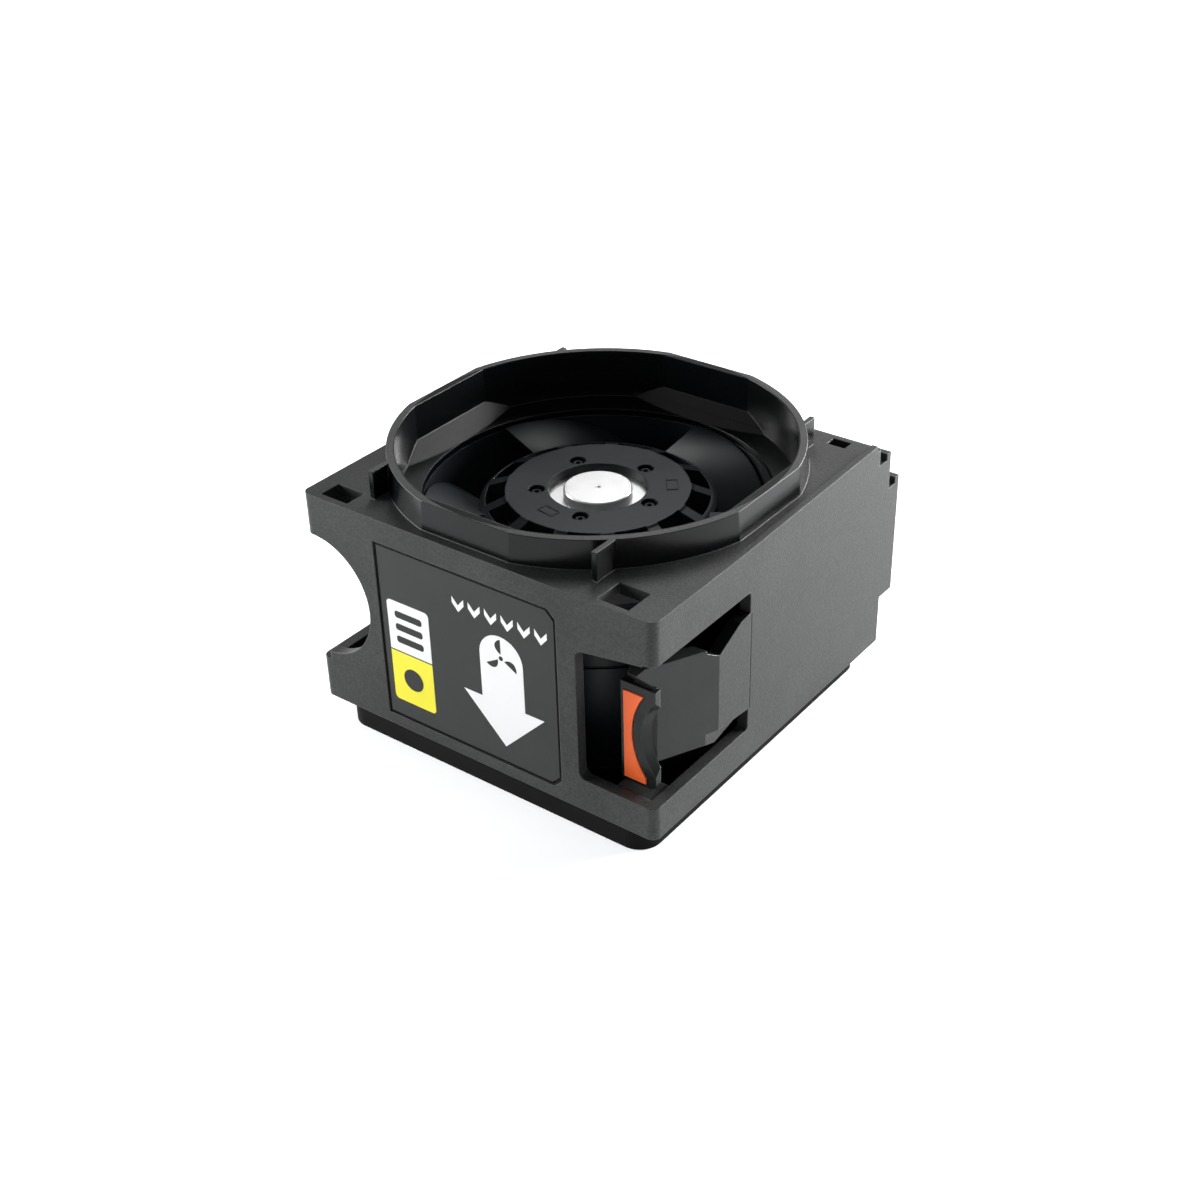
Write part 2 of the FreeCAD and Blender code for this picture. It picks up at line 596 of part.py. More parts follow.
def rotor_parts():
    """Steel cup, its boss, the magnet ring inside it and the shaft."""
    inner = "yoke_radius - yoke_wall"
    yoke = turned("Yoke", [
        (inner, "yoke_low"), ("yoke_radius", "yoke_low"), ("yoke_radius", "flange_low - yoke_shoulder"),
        ("yoke_radius - yoke_shoulder - 0.2", "flange_low"), ("boss_hub + 0.05", "flange_low"),
        ("boss_hub + 0.05", "flange_low - yoke_wall"),
        ("yoke_radius - yoke_shoulder - 0.6", "flange_low - yoke_wall"),
        (inner, "flange_low - yoke_shoulder - 0.4")])
    node(yoke, "rotor_yoke")
    boss = turned("Boss", [
        ("shaft", "flange_low - boss_deep"), ("boss_hub", "flange_low - boss_deep"),
        ("boss_hub", "flange_low"), ("flange_radius", "flange_low"), ("flange_radius", DISC_TOP),
        ("boss", DISC_TOP),
        ("boss", "hub_top - 0.2"), ("boss - 0.2", "hub_top"), ("0.5", "hub_top"), ("0", "hub_top - 0.3"),
        ("0", f"{DISC_TOP} + 0.6"), ("shaft", f"{DISC_TOP} + 0.6")])
    node(boss, "rotor_boss")
    magnet = ring("Magnet", f"{inner} - fit", "magnet_inner", ("magnet_low", "magnet_high"))
    node(magnet, "rotor_magnet")
    shaft = turned("Shaft", [
        ("0", "shaft_low"), ("shaft - 0.3", "shaft_low"), ("shaft - 0.01", "shaft_low + 0.3"),
        ("shaft - 0.01", "low_bearing - 0.75"), ("shaft - 0.35", "low_bearing - 0.75"),
        ("shaft - 0.35", "low_bearing - 0.25"), ("shaft - 0.01", "low_bearing - 0.25"),
        ("shaft - 0.01", f"{DISC_TOP} + 0.5"), ("0", f"{DISC_TOP} + 0.5")])
    node(shaft, "shaft")
    clip = ring("Clip", "2.1", "shaft - 0.33", ("low_bearing - 0.72", "low_bearing - 0.28"))
    node(clip, "shaft_clip")


def preload_spring():
    """A coil spring between the upper inner race and the rotor boss, closed flat at both ends."""
    low, high = "high_bearing + race_high", "flange_low - boss_deep"
    made = body("Spring")
    drawn = sketch(made, "SpringWire", "XZ_Plane")
    start = f"{low} + 0.05"
    outline(drawn, [("spring_radius - wire / 2", start), ("spring_radius + wire / 2", start),
                    ("spring_radius + wire / 2", f"{start} + wire"),
                    ("spring_radius - wire / 2", f"{start} + wire")])
    coil = made.newObject("PartDesign::AdditiveHelix", "SpringCoil")
    coil.Profile = drawn
    coil.ReferenceAxis = (drawn, ["V_Axis"])
    coil.Mode = "height-turns-angle"
    bind(coil, "Height", f"({high}) - ({low}) - 0.1 - wire")
    coil.Turns = 3
    return node(made, "preload_spring")


def bearing_tube():
    made = turned("Tube", [
        ("tube_radius", "tube_low"), ("tube_radius", "tube_top"),
        ("race_radius + 0.01", "tube_top"), ("race_radius + 0.01", "high_bearing"),
        ("tube_step", "high_bearing"), ("tube_step", "low_bearing + race_high"),
        ("race_radius + 0.01", "low_bearing + race_high"), ("race_radius + 0.01", "tube_low")])
    return node(made, "bearing_tube")


def bearings():
    """Two ball bearings, each an outer race, an inner race and a set of balls."""
    for where, low in (("lower", "low_bearing"), ("upper", "high_bearing")):
        high = f"{low} + race_high"
        node(ring(where + "Outer", "race_radius", "race_inner", (low, high)), where + "_bearing_outer")
        node(ring(where + "Inner", "cone_outer", "shaft", (low, high)), where + "_bearing_inner")
        middle = f"{low} + race_high / 2"
        balls = []
        for number in range(BALLS):
            angle = 2 * math.pi * number / BALLS
            made = doc.addObject("Part::Sphere", f"{where}Ball{number}")
            bind(made, "Radius", "ball")
            bind(made, "Placement.Base.x", f"ball_ring * {math.cos(angle):.6f}")
            bind(made, "Placement.Base.y", f"ball_ring * {math.sin(angle):.6f}")
            bind(made, "Placement.Base.z", middle)
            balls.append(made)
        made = doc.addObject("Part::Compound", where + "Balls")
        made.Links = balls
        node(made, where + "_bearing_balls")


# ---- stator and board ----

def spokes_round(name, half, far, z):
    """Arms out of the stator's hub, one for each pole."""
    arms = block(name + "Arm", ("core_hub - 0.5", far), (f"-({half})", half), z)
    return round_array(name, arms, POLES)


def stator():
    tall = ("core_low", "core_high")
    hub = rod("CoreHub", "core_hub", tall)
    arms = spokes_round("CoreArms", "pole / 2", "core_radius - shoe / 2", tall)
    shoe = overlap("CoreShoe", ring("CoreRim", "core_radius", "core_radius - shoe", tall),
                   block("CoreShoeBound", ("0", "core_radius"), ("-pole * 1.75", "pole * 1.75"), tall))
    shoes = round_array("CoreShoes", shoe, POLES)
    core = cut("Core", join("CoreBlank", hub, *arms, *shoes),
               rod("CoreHole", "socket", ("core_low - 1", "core_high + 1")))
    node(core, "stator_core")
    bottom = "seat_top + board_thick"
    for where, z, foot in (
            ("lower", ("core_low - spool", "core_low"), (bottom, "core_low")),
            ("upper", ("core_high", "core_high + spool"), ("core_high", "core_high + spool + 1"))):
        collar_part = rod(where + "SpoolHub", "core_hub", foot)
        arms = spokes_round(where + "SpoolArms", "pole / 2 + 0.2", "core_radius - 0.2", z)
        solid = join(where + "SpoolBlank", collar_part, *arms)
        node(cut(where + "Spool", solid, rod(where + "SpoolHole", "socket + 0.05", ("tube_low", "tube_top"))),
             where + "_insulator")
    far = ("core_hub + 0.4", "core_radius - shoe - 0.7")
    outer = block("CoilOuter", far, ("-(pole / 2 + 0.3 + coil)", "pole / 2 + 0.3 + coil"),
                  ("core_low - spool - coil", "core_high + spool + coil"))
    inner = block("CoilInner", ("core_hub", "core_radius"), ("-(pole / 2 + 0.22)", "pole / 2 + 0.22"),
                  ("core_low - spool - 0.02", "core_high + spool + 0.02"))
    made = doc.addObject("Part::Compound", "Coils")
    made.Links = round_array("CoilCopy", cut("Coil", outer, inner), POLES)
    node(made, "windings")


def board():
    low, high = "seat_top", "seat_top + board_thick"
    plate = rod("BoardDisc", "board_radius", (low, high))
    hole = rod("BoardHole", "board_hole", ("seat_top - 1", f"{high} + 1"))
    node(cut("Board", plate, hole), "motor_board")
    chips = [
        block("ChipDriver", ("9.2", "13.2"), ("-2", "2"), (high, f"{high} + 1.1")),
        block("ChipHall", ("-1.5", "1.5"), ("11.6", "13.2"), (high, f"{high} + 1.2")),
        block("ChipSense", ("-12.6", "-9.6"), ("-1.2", "1.2"), (high, f"{high} + 0.8")),
        block("ChipFuse", ("-1", "1"), ("-13.4", "-10.2"), (high, f"{high} + 0.9")),
    ]
    made = doc.addObject("Part::Compound", "Chips")
    made.Links = chips
    node(made, "board_components")


# ---- latch ----

def leaf_blank():
    """The leaf: its plan, bent inwards in front of the hinge, trimmed to its outline from the side."""
    slope = math.tan(math.radians(BEND_ANGLE))
    end = f"side_right - (flange_y - bend_y) * {slope:.5f}"
    tip = "-flange_y - leaf_tip"
    plan = slab("Leaf", [
        ("side_right", "-hinge_y"), ("side_right", "-bend_y"), (f"{end} - 0.7", tip),
        (f"{end} - 2.2", tip), (f"{end} - 3.6", "flange_thick - flange_y"), ("side_right - wall", "-bend_y"),
        ("side_right - wall", "-hinge_y")], "XY_Plane", "tab_low", "window_high - tab_low")
    over = [
        ("-hinge_y + 2", "arm_high"), ("-hinge_y - 2.45", "arm_high"), ("-bend_y - 0.2", "arm_high - 3"),
        ("-bend_y - 2.4", "arm_high - 1.8"), ("-bend_y - 2.5", "arm_high - 1.2"),
        ("-flange_y - 1", "arm_high + 0.8"), (tip, "arm_high + 0.3"),
        ("0.85 - flange_y", "tab_high + 0.2"), ("-flange_y", "tab_high - 0.4")]
    below = [
        ("-flange_y", "arm_low + 1"), ("-bend_y - 2.7", "arm_low - 0.8"), ("-bend_y - 0.1", "arm_low - 1.7"),
        ("-hinge_y - 0.6", "arm_low"), ("-hinge_y + 2", "arm_low")]
    side = slab("LeafSide", over + below, "YZ_Plane", "tab_left", "side_right + 1 - tab_left")
    return overlap("LeafShape", plan, side)


def release_latch():
    """A leaf in the side wall with a round root, and a scalloped thumb flange that carries the pad."""
    pin_rod = rod("HingePin", "wall / 2", ("arm_low", "arm_high"), (HINGE_X, "-hinge_y"))
    plate = slab("ThumbPlate", [
        ("tab_left", "tab_low"), ("tab_right", "tab_low"), ("tab_right", "tab_high"),
        ("tab_left", "tab_high")], "XZ_Plane", "flange_y - flange_thick", "flange_thick")
    tilt = math.radians(SCALLOP_ANGLE)
    scallop = rod("Scallop", "scallop", ("0", "20"))
    scallop.Placement = Placement(Vector(), Rotation(UP, Vector(math.sin(tilt), math.cos(tilt), 0)))
    bind(scallop, "Placement.Base.x", f"scallop_x - {8 * math.sin(tilt):.4f}")
    bind(scallop, "Placement.Base.y", f"-flange_y - {8 * math.cos(tilt):.4f}")
    bind(scallop, "Placement.Base.z", "scallop_z")
    sunk = cut("PadSink", block("PadSinkBlock", ("pad_left - pad_fit", "pad_right + pad_fit"),
                                ("-flange_y - 1", "-flange_y + pad_sink"),
                                ("pad_low - pad_fit", "pad_high + pad_fit")),
               rod_along_y("PadSinkEdge", "pad_edge - pad_fit", "pad_x", "scallop_z",
                           ("-flange_y - 2", "-flange_y + 2")))
    made = cut("Latch", join("LatchBlank", leaf_blank(), pin_rod, plate), scallop, sunk)
    node(made, "release_latch")


def touch_pad():
    """The coloured touch point in the thumb flange, with a concave edge along the scallop."""
    bottom = "-flange_y + pad_sink"
    blank = block("PadBlock", ("pad_left", "pad_right"), (f"{bottom} - pad_thick", bottom),
                  ("pad_low", "pad_high"))
    edge = rod_along_y("PadEdge", "pad_edge", "pad_x", "scallop_z", ("-flange_y - 2", "-flange_y + 2"))
    node(cut("Pad", blank, edge), "touch_pad")


# ---- plug ----

def plug():
    """The blind-mate plug in the back wall, with its flange behind the wall and its pins."""
    inside = "far_back - wall"
    half = "plug_wide / 2 - plug_fit"
    low, high = "plug_low + plug_fit", "plug_high - plug_fit"
    sleeve = block("PlugBody", (f"-({half})", half), (f"{inside} - 2.6", "far_back + plug_out"), (low, high))
    flange = block("PlugFlange", ("-plug_wide / 2 - 1.5", "plug_wide / 2 + 1.5"), (f"{inside} - 1.2", inside),
                   ("plug_low - 1", "plug_high + 1"))
    hollow = block("PlugHollow", (f"plug_wall - ({half})", f"{half} - plug_wall"),
                   (f"{inside} - 1", "far_back + plug_out + 1"),
                   (f"{low} + plug_wall", f"{high} - plug_wall"))
    middle = "(plug_low + plug_high) / 2"
    tall = (f"{middle} - pin / 2", f"{middle} + pin / 2")
    slots = []
    pins = []
    for number in range(PINS):
        place = f"pin_pitch * {number - (PINS - 1) / 2}"
        wide = (f"{place} - pin / 2", f"{place} + pin / 2")
        slots.append(block(f"PinSlot{number}", wide, (f"{inside} - 4", f"{inside} + 1"), tall))
        pins.append(block(f"Pin{number}", wide, (f"{inside} - 3", "far_back + plug_out - 1"), tall))
    node(cut("Plug", join("PlugBlank", sleeve, flange), hollow, *slots), "plug_body")
    contacts = doc.addObject("Part::Compound", "Contacts")
    contacts.Links = pins
    node(contacts, "plug_contacts")


housing()
face_label()
outlet_cover()
cover_screws()
fan_frame()
impeller()
rotor_parts()
preload_spring()
bearing_tube()
bearings()
stator()
board()
release_latch()
touch_pad()
plug()
doc.recompute()

failed = [thing.Name for thing in doc.Objects if "Invalid" in thing.State or "Error" in thing.State]
if failed:
    raise RuntimeError(f"objects that did not compute: {failed}")
os.makedirs("parts", exist_ok=True)
for thing in NODES:
    shape = thing.Shape
    if shape.isNull() or not shape.isValid():
        raise RuntimeError(f"{thing.Label} has no valid shape")
    bounds = shape.BoundBox
    print(f"{thing.Label}: {len(shape.Solids)} solid(s), {shape.Volume:.1f} mm3, "
          f"z {bounds.ZMin:.2f} to {bounds.ZMax:.2f}")
    shape.exportStep(f"parts/{thing.Label}.step")
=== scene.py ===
# %% [markdown]
# # Dressing a server fan module
# The object is a hot-plug fan: an axial fan in a moulded carrier that a hand slides into a server.
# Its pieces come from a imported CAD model, which this script loads and never moves or reshapes.
# What is left to do is what the eye reads: how each surface was made, a few fine forms that the
# CAD model leaves plain, what is printed on the label, and how light falls on it all.  Each step
# below says what the real thing is before it is made.

# %% Load the frame
import math
import bpy
import bmesh
from mathutils import Matrix, Vector


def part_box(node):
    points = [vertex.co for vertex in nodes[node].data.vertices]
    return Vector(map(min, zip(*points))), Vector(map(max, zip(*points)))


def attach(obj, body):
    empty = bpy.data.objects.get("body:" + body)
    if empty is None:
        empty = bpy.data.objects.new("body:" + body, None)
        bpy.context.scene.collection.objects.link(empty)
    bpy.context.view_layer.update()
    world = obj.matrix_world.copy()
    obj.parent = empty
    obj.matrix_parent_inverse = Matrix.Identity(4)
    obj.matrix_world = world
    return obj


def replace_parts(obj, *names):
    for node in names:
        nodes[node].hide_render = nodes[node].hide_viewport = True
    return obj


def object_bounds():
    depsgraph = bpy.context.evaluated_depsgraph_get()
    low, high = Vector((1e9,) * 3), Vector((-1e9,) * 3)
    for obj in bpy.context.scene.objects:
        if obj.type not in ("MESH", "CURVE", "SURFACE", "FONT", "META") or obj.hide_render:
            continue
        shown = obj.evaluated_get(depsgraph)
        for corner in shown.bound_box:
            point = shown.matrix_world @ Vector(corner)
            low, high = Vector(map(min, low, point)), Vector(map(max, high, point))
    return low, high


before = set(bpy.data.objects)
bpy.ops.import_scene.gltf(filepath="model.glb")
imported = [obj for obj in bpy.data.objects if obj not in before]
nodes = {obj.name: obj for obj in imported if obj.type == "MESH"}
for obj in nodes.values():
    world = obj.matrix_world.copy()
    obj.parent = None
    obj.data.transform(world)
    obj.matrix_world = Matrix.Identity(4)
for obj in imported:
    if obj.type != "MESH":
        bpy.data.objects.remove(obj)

given = {material.name for material in bpy.data.materials}
cad_low, cad_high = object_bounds()
MM = 0.001
print("CAD nodes:", len(nodes), "size in mm:", [round((b - a) / MM, 2) for a, b in zip(cad_low, cad_high)])

# %% [markdown]
# ## Colours and nodes
# Plastics are given as screen colours, so their colours are written as sRGB hex values.  Shaders work
# with linear light, so one function converts them.  A second small function adds a shader node
# with its settings and its links; every material below is built from nothing else.  An input is
# given by its name, or by its number where one node has several inputs of the same name.

# %% Helpers for colour and shader nodes
def linear(hex_code):
    """Turn an sRGB colour such as '#303133' into Blender's linear RGBA."""
    channels = [int(hex_code[start:start + 2], 16) / 255 for start in (1, 3, 5)]
    return [c / 12.92 if c <= 0.04045 else ((c + 0.055) / 1.055) ** 2.4 for c in channels] + [1.0]


def add(tree, kind, settings=None, links=None):
    """Add one shader node; settings are properties or input values, links feed its inputs."""
    made = tree.nodes.new("ShaderNode" + kind)
    for name, value in (settings or {}).items():
        if isinstance(name, str) and hasattr(made, name):
            setattr(made, name, value)
        else:
            made.inputs[name].default_value = value
    for name, source in (links or {}).items():
        tree.links.new(source, made.inputs[name])
    return made


def new_material(name):
    """An empty material with its output node, ready for a surface."""
    made = bpy.data.materials.new(name)
    made.use_nodes = True
    made.node_tree.nodes.clear()
    return made, made.node_tree


def scale_for(millimetres):
    """The Scale of a noise or Voronoi node whose features are this far apart."""
    return 1.0 / (millimetres * MM)

# %% [markdown]
# ## Moulded plastic with a spark-eroded grain
# The carrier is moulded in a black PC/ABS blend.  Its mould was spark-eroded, which leaves a fine
# sandy grain that scatters light: the plastic looks charcoal rather than black, and its highlights
# are wide and soft.  The grain of such a mould is about 0.1 mm apart, too fine for a picture of the
# whole module, so it is drawn at 0.35 mm.  A mould's edges are never razor sharp either.  The Bevel
# node rounds them for the shading alone, and the same node finds the edges, where the colour is
# made paler: a painted highlight for the light that rounded edges catch.  The same paler colour
# also marks faint flow patches and specks of the grain.  One function makes each such plastic,
# because only the numbers differ.
#
# Air has to slip through the inlet, so there the mould was polished.  That zone is found by its
# place and by the way its faces point, and there the plastic is glossier and without grain.  There
# its colour is also made nearly black and a little blue: painted shade, for the deep inlet and the
# collar's upright walls.

# %% Moulded plastics
INLET_RADIUS, DUCT_TOP = 33.35, 38.0
COLLAR_OUTSIDE, DECK_TOP = 38.6, 44.75
UPRIGHT = 0.5


def moulded_plastic(name, colour, paler_and_edge_highlight, roughness, grain_mm, grain_depth_mm, edge_mm=0.25, patchy=0.06,
                    specular=0.5, sandy=0.0, zone=None, zone_shade_colour="#000000", zone_roughness=0.2):
    """A plastic with grain, a painted highlight along its edges and faint flow marks; zone finds where its
    mould was polished and where its colour is darkened as painted shade.
    """
    made, tree = new_material(name)
    place = add(tree, "TexCoord").outputs["Object"]
    grain = add(tree, "TexNoise", {"Scale": scale_for(grain_mm), "Detail": 3.0, "Roughness": 0.6},
                {"Vector": place})
    flow = add(tree, "TexNoise", {"Scale": scale_for(14.0), "Detail": 2.0}, {"Vector": place})
    rounded = add(tree, "Bevel", {"samples": 6, "Radius": edge_mm * MM})
    bump = add(tree, "Bump", {"Strength": 1.0, "Distance": grain_depth_mm * MM},
               {"Height": grain.outputs["Fac"], "Normal": rounded.outputs["Normal"]})
    flat = add(tree, "NewGeometry")
    turned = add(tree, "VectorMath", {"operation": "DOT_PRODUCT"},
                 {0: rounded.outputs["Normal"], 1: flat.outputs["Normal"]})
    # Edge mask: the colour turns paler where the rounded normal leaves the flat one, a painted highlight on
    # the edges.
    edge = add(tree, "MapRange", {"From Min": 0.995, "From Max": 0.86, "To Min": 0.0, "To Max": 0.75},
               {"Value": turned.outputs["Value"]})
    shade = add(tree, "MapRange", {"From Min": 0.35, "From Max": 0.65, "To Min": 0.0, "To Max": patchy * 4},
                {"Value": flow.outputs["Fac"]})
    either = add(tree, "Math", {"operation": "MAXIMUM"},
                 {0: edge.outputs["Result"], 1: shade.outputs["Result"]})
    sand = add(tree, "MapRange", {"From Min": 0.35, "From Max": 0.65, "To Min": -sandy, "To Max": sandy},
               {"Value": grain.outputs["Fac"]})
    pale = add(tree, "Math", {"operation": "ADD", "use_clamp": True},
               {0: either.outputs["Value"], 1: sand.outputs["Result"]})
    # The paler colour is a painted highlight on the edges, and real tone in the flow patches and grain
    # specks.
    tint = add(tree, "Mix", {"data_type": "RGBA", 6: linear(colour), 7: linear(paler_and_edge_highlight)},
               {"Factor": pale.outputs["Value"]})
    gloss = add(tree, "MapRange", {"From Min": 0.3, "From Max": 0.7,
                                   "To Min": roughness - patchy, "To Max": roughness + patchy},
                {"Value": flow.outputs["Fac"]})
    base, dull = tint.outputs[2], gloss.outputs["Result"]
    if zone:
        where = zone(tree, place, flat.outputs["Normal"])
        # In the zone the colour turns nearly black as painted shade; the lower roughness and the weaker grain
        # below are the real polish.
        zone_shaded = add(tree, "Mix", {"data_type": "RGBA", 7: linear(zone_shade_colour)}, {"Factor": where, 6: base})
        buffed = add(tree, "Mix", {"data_type": "FLOAT", 3: zone_roughness}, {"Factor": where, 2: dull})
        base, dull = zone_shaded.outputs[2], buffed.outputs[0]
        left = add(tree, "MapRange", {"To Min": 1.0, "To Max": 0.1}, {"Value": where})
        tree.links.new(left.outputs["Result"], bump.inputs["Strength"])
    surface = add(tree, "BsdfPrincipled", {"IOR": 1.55, "Specular IOR Level": specular},
                  {"Base Color": base, "Roughness": dull, "Normal": bump.outputs["Normal"]})
    add(tree, "OutputMaterial", links={"Surface": surface.outputs["BSDF"]})
    return made


def polished_and_shaded_air_path(tree, place, normal):
    """1 on the inside of the inlet and on the collar's upright walls, else 0."""
    spot = add(tree, "SeparateXYZ", links={"Vector": place})
    facing = add(tree, "SeparateXYZ", links={"Vector": normal})
    flat = add(tree, "CombineXYZ", links={"X": spot.outputs["X"], "Y": spot.outputs["Y"]})
    far = add(tree, "VectorMath", {"operation": "LENGTH"}, {0: flat.outputs["Vector"]}).outputs["Value"]
    lean = add(tree, "Math", {"operation": "ABSOLUTE"}, {0: facing.outputs["Z"]}).outputs["Value"]
    tests = [add(tree, "Math", {"operation": operation, 1: limit}, {0: source}).outputs["Value"]
             for operation, source, limit in (
                 ("LESS_THAN", far, INLET_RADIUS * MM), ("GREATER_THAN", spot.outputs["Z"], DUCT_TOP * MM),
                 ("LESS_THAN", far, COLLAR_OUTSIDE * MM), ("GREATER_THAN", spot.outputs["Z"], DECK_TOP * MM),
                 ("LESS_THAN", lean, UPRIGHT))]
    inside, collar = [add(tree, "Math", {"operation": "MULTIPLY"}, {0: near, 1: above}).outputs["Value"]
                      for near, above in (tests[0:2], tests[2:4])]
    wall = add(tree, "Math", {"operation": "MULTIPLY"}, {0: collar, 1: tests[4]}).outputs["Value"]
    return add(tree, "Math", {"operation": "MAXIMUM"}, {0: inside, 1: wall}).outputs["Value"]


# On the carrier the zone's nearly black, bluish colour is painted shade in the inlet and on the collar's
# upright walls.
eroded_pc_abs = moulded_plastic("spark_eroded_PC_ABS", "#272827", "#565756", 0.48, 0.35, 0.05,
                                specular=0.25, sandy=0.14, zone=polished_and_shaded_air_path,
                                zone_shade_colour="#050708", zone_roughness=0.24)
smooth_pc_abs = moulded_plastic("polished_mould_PC_ABS", "#191a1a", "#3c3d3d", 0.24, 0.6, 0.004, specular=0.2)
glass_filled_pbt = moulded_plastic("glass_filled_PBT", "#14181b", "#2c3236", 0.4, 0.5, 0.006, specular=0.22)
foot_abs = moulded_plastic("matt_ABS", "#080809", "#121313", 0.65, 0.4, 0.01, specular=0.08)
plug_lcp = moulded_plastic("moulded_LCP", "#1b1b1c", "#3c3c3e", 0.5, 0.4, 0.006)
chip_epoxy = moulded_plastic("moulded_epoxy", "#1c1c1e", "#38383a", 0.55, 0.2, 0.004, 0.08)
nylon_natural = moulded_plastic("natural_nylon", "#d6cfb4", "#ece7d4", 0.45, 0.5, 0.004)
orange_tpe = moulded_plastic("orange_TPE", "#ff6a26", "#ff8a50", 0.5, 0.3, 0.006, 0.15, 0.03)
print("moulded plastics:", [m.name for m in bpy.data.materials if m.name not in given])

# %% [markdown]
# ## Printed film
# The label is a polycarbonate film printed in dark grey, with white and yellow inks on top.  A black
# line round its edge is painted shade, for the groove that the label sits in.
# Film is smoother than the moulded wall round it, but its face still has a fine matt coating, and the
# inks lie on it as a layer that is a little glossier.

# %% Film and inks
def screen_ink(name, colour, paler_and_edge_highlight, roughness, specular=0.5):
    return moulded_plastic(name, colour, paler_and_edge_highlight, roughness, 0.3, 0.002, 0.02, 0.02, specular=specular)


label_film = moulded_plastic("printed_PC_film", "#292b2a", "#4a4b4a", 0.5, 0.5, 0.003, 0.1, 0.03,
                             specular=0.25)
white_ink = screen_ink("white_screen_ink", "#fbfbf9", "#ffffff", 0.45)
yellow_ink = screen_ink("yellow_screen_ink", "#fdf22a", "#fff65c", 0.45)
grey_ink = screen_ink("dark_grey_screen_ink", "#2b2c2b", "#3a3b3a", 0.45, 0.2)
# This black is painted shade, laid round the label's edge where the groove is.
groove_shade_black = screen_ink("black_painted_groove_shade", "#040404", "#0a0a0a", 0.6, 0.05)
print("inks:", white_ink.name, yellow_ink.name, grey_ink.name, groove_shade_black.name)

# %% [markdown]
# ## Metals
# A metal's colour is its reflection, so the surface matters more than the tint.  Turned and ground
# parts carry fine rings or lines left by the tool.  They are drawn as a wave along the radius or
# the height: the bump bends the light as the real grooves do, and the roughness changes a little
# from groove to groove.  The IOR stays at its default, as it does nothing useful on a metal.

# %% Metals
def metal(name, colour, roughness, groove_mm, groove_depth_mm, along, tarnish, tarnished):
    """A metal with tool grooves along the radius or the height, and a share of tarnish in patches."""
    made, tree = new_material(name)
    place = add(tree, "TexCoord").outputs["Object"]
    parts = add(tree, "SeparateXYZ", links={"Vector": place})
    if along == "radius":
        flat = add(tree, "CombineXYZ", links={"X": parts.outputs["X"], "Y": parts.outputs["Y"]})
        way = add(tree, "VectorMath", {"operation": "LENGTH"}, {0: flat.outputs["Vector"]}).outputs["Value"]
    else:
        way = parts.outputs["Z"]
    line = add(tree, "CombineXYZ", links={"X": way})
    grooves = add(tree, "TexNoise", {"Scale": scale_for(groove_mm), "Detail": 1.0},
                  {"Vector": line.outputs["Vector"]})
    cloud = add(tree, "TexNoise", {"Scale": scale_for(3.0), "Detail": 4.0}, {"Vector": place})
    rounded = add(tree, "Bevel", {"samples": 6, "Radius": 0.15 * MM})
    bump = add(tree, "Bump", {"Strength": 1.0, "Distance": groove_depth_mm * MM},
               {"Height": grooves.outputs["Fac"], "Normal": rounded.outputs["Normal"]})
    stain = add(tree, "MapRange", {"From Min": 0.45, "From Max": 0.75, "To Min": 0.0, "To Max": tarnished},
                {"Value": cloud.outputs["Fac"]})
    tint = add(tree, "Mix", {"data_type": "RGBA", 6: linear(colour), 7: linear(tarnish)},
               {"Factor": stain.outputs["Result"]})
    gloss = add(tree, "MapRange", {"From Min": 0.3, "From Max": 0.7,
                                   "To Min": roughness - 0.05, "To Max": roughness + 0.07},
                {"Value": grooves.outputs["Fac"]})
    surface = add(tree, "BsdfPrincipled", {"Metallic": 1.0},
                  {"Base Color": tint.outputs[2], "Roughness": gloss.outputs["Result"],
                   "Normal": bump.outputs["Normal"]})
    add(tree, "OutputMaterial", links={"Surface": surface.outputs["BSDF"]})
    return made


turned_aluminium = metal("turned_aluminium", "#f2f3f2", 0.32, 0.18, 0.002, "radius", "#c9cbcb", 0.25)
zinc_plated_steel = metal("zinc_plated_steel", "#b9bab8", 0.38, 0.3, 0.003, "height", "#8c8d8a", 0.4)
ground_steel = metal("ground_steel", "#cfd0d0", 0.22, 0.12, 0.001, "height", "#a9aaaa", 0.1)
bearing_steel = metal("polished_bearing_steel", "#d8d9da", 0.14, 0.1, 0.0005, "radius", "#b5b6b7", 0.1)
turned_brass = metal("turned_brass", "#d8b04f", 0.28, 0.2, 0.002, "height", "#9a7a34", 0.25)
silicon_steel = metal("laminated_silicon_steel", "#77797b", 0.45, 0.5, 0.02, "height", "#54565a", 0.35)
enamelled_copper = metal("enamelled_copper_wire", "#b8632c", 0.35, 0.35, 0.04, "radius", "#8a3f17", 0.3)
gold_plated_bronze = metal("gold_plated_bronze", "#e3bf62", 0.25, 0.3, 0.001, "height", "#c49a3c", 0.15)
black_zinc_steel = metal("black_zinc_steel", "#4b4c50", 0.4, 0.2, 0.002, "radius", "#38393c", 0.3)
metals = (turned_aluminium, zinc_plated_steel, ground_steel, bearing_steel, turned_brass, silicon_steel,
          enamelled_copper, gold_plated_bronze, black_zinc_steel)
print("metals:", [m.name for m in metals])

# %% [markdown]
# ## Ferrite and circuit board
# The rotor's magnet is bonded ferrite, a matt grey-brown ceramic with a visible grain.  The board
# is glass-epoxy laminate under a green solder mask: copper tracks under the mask show as slightly
# lighter and raised lines, which a Voronoi pattern's edges stand for.

# %% Ferrite and solder mask
bonded_ferrite = moulded_plastic("bonded_ferrite", "#3a3632", "#5a544d", 0.7, 0.25, 0.01, 0.1, 0.1)


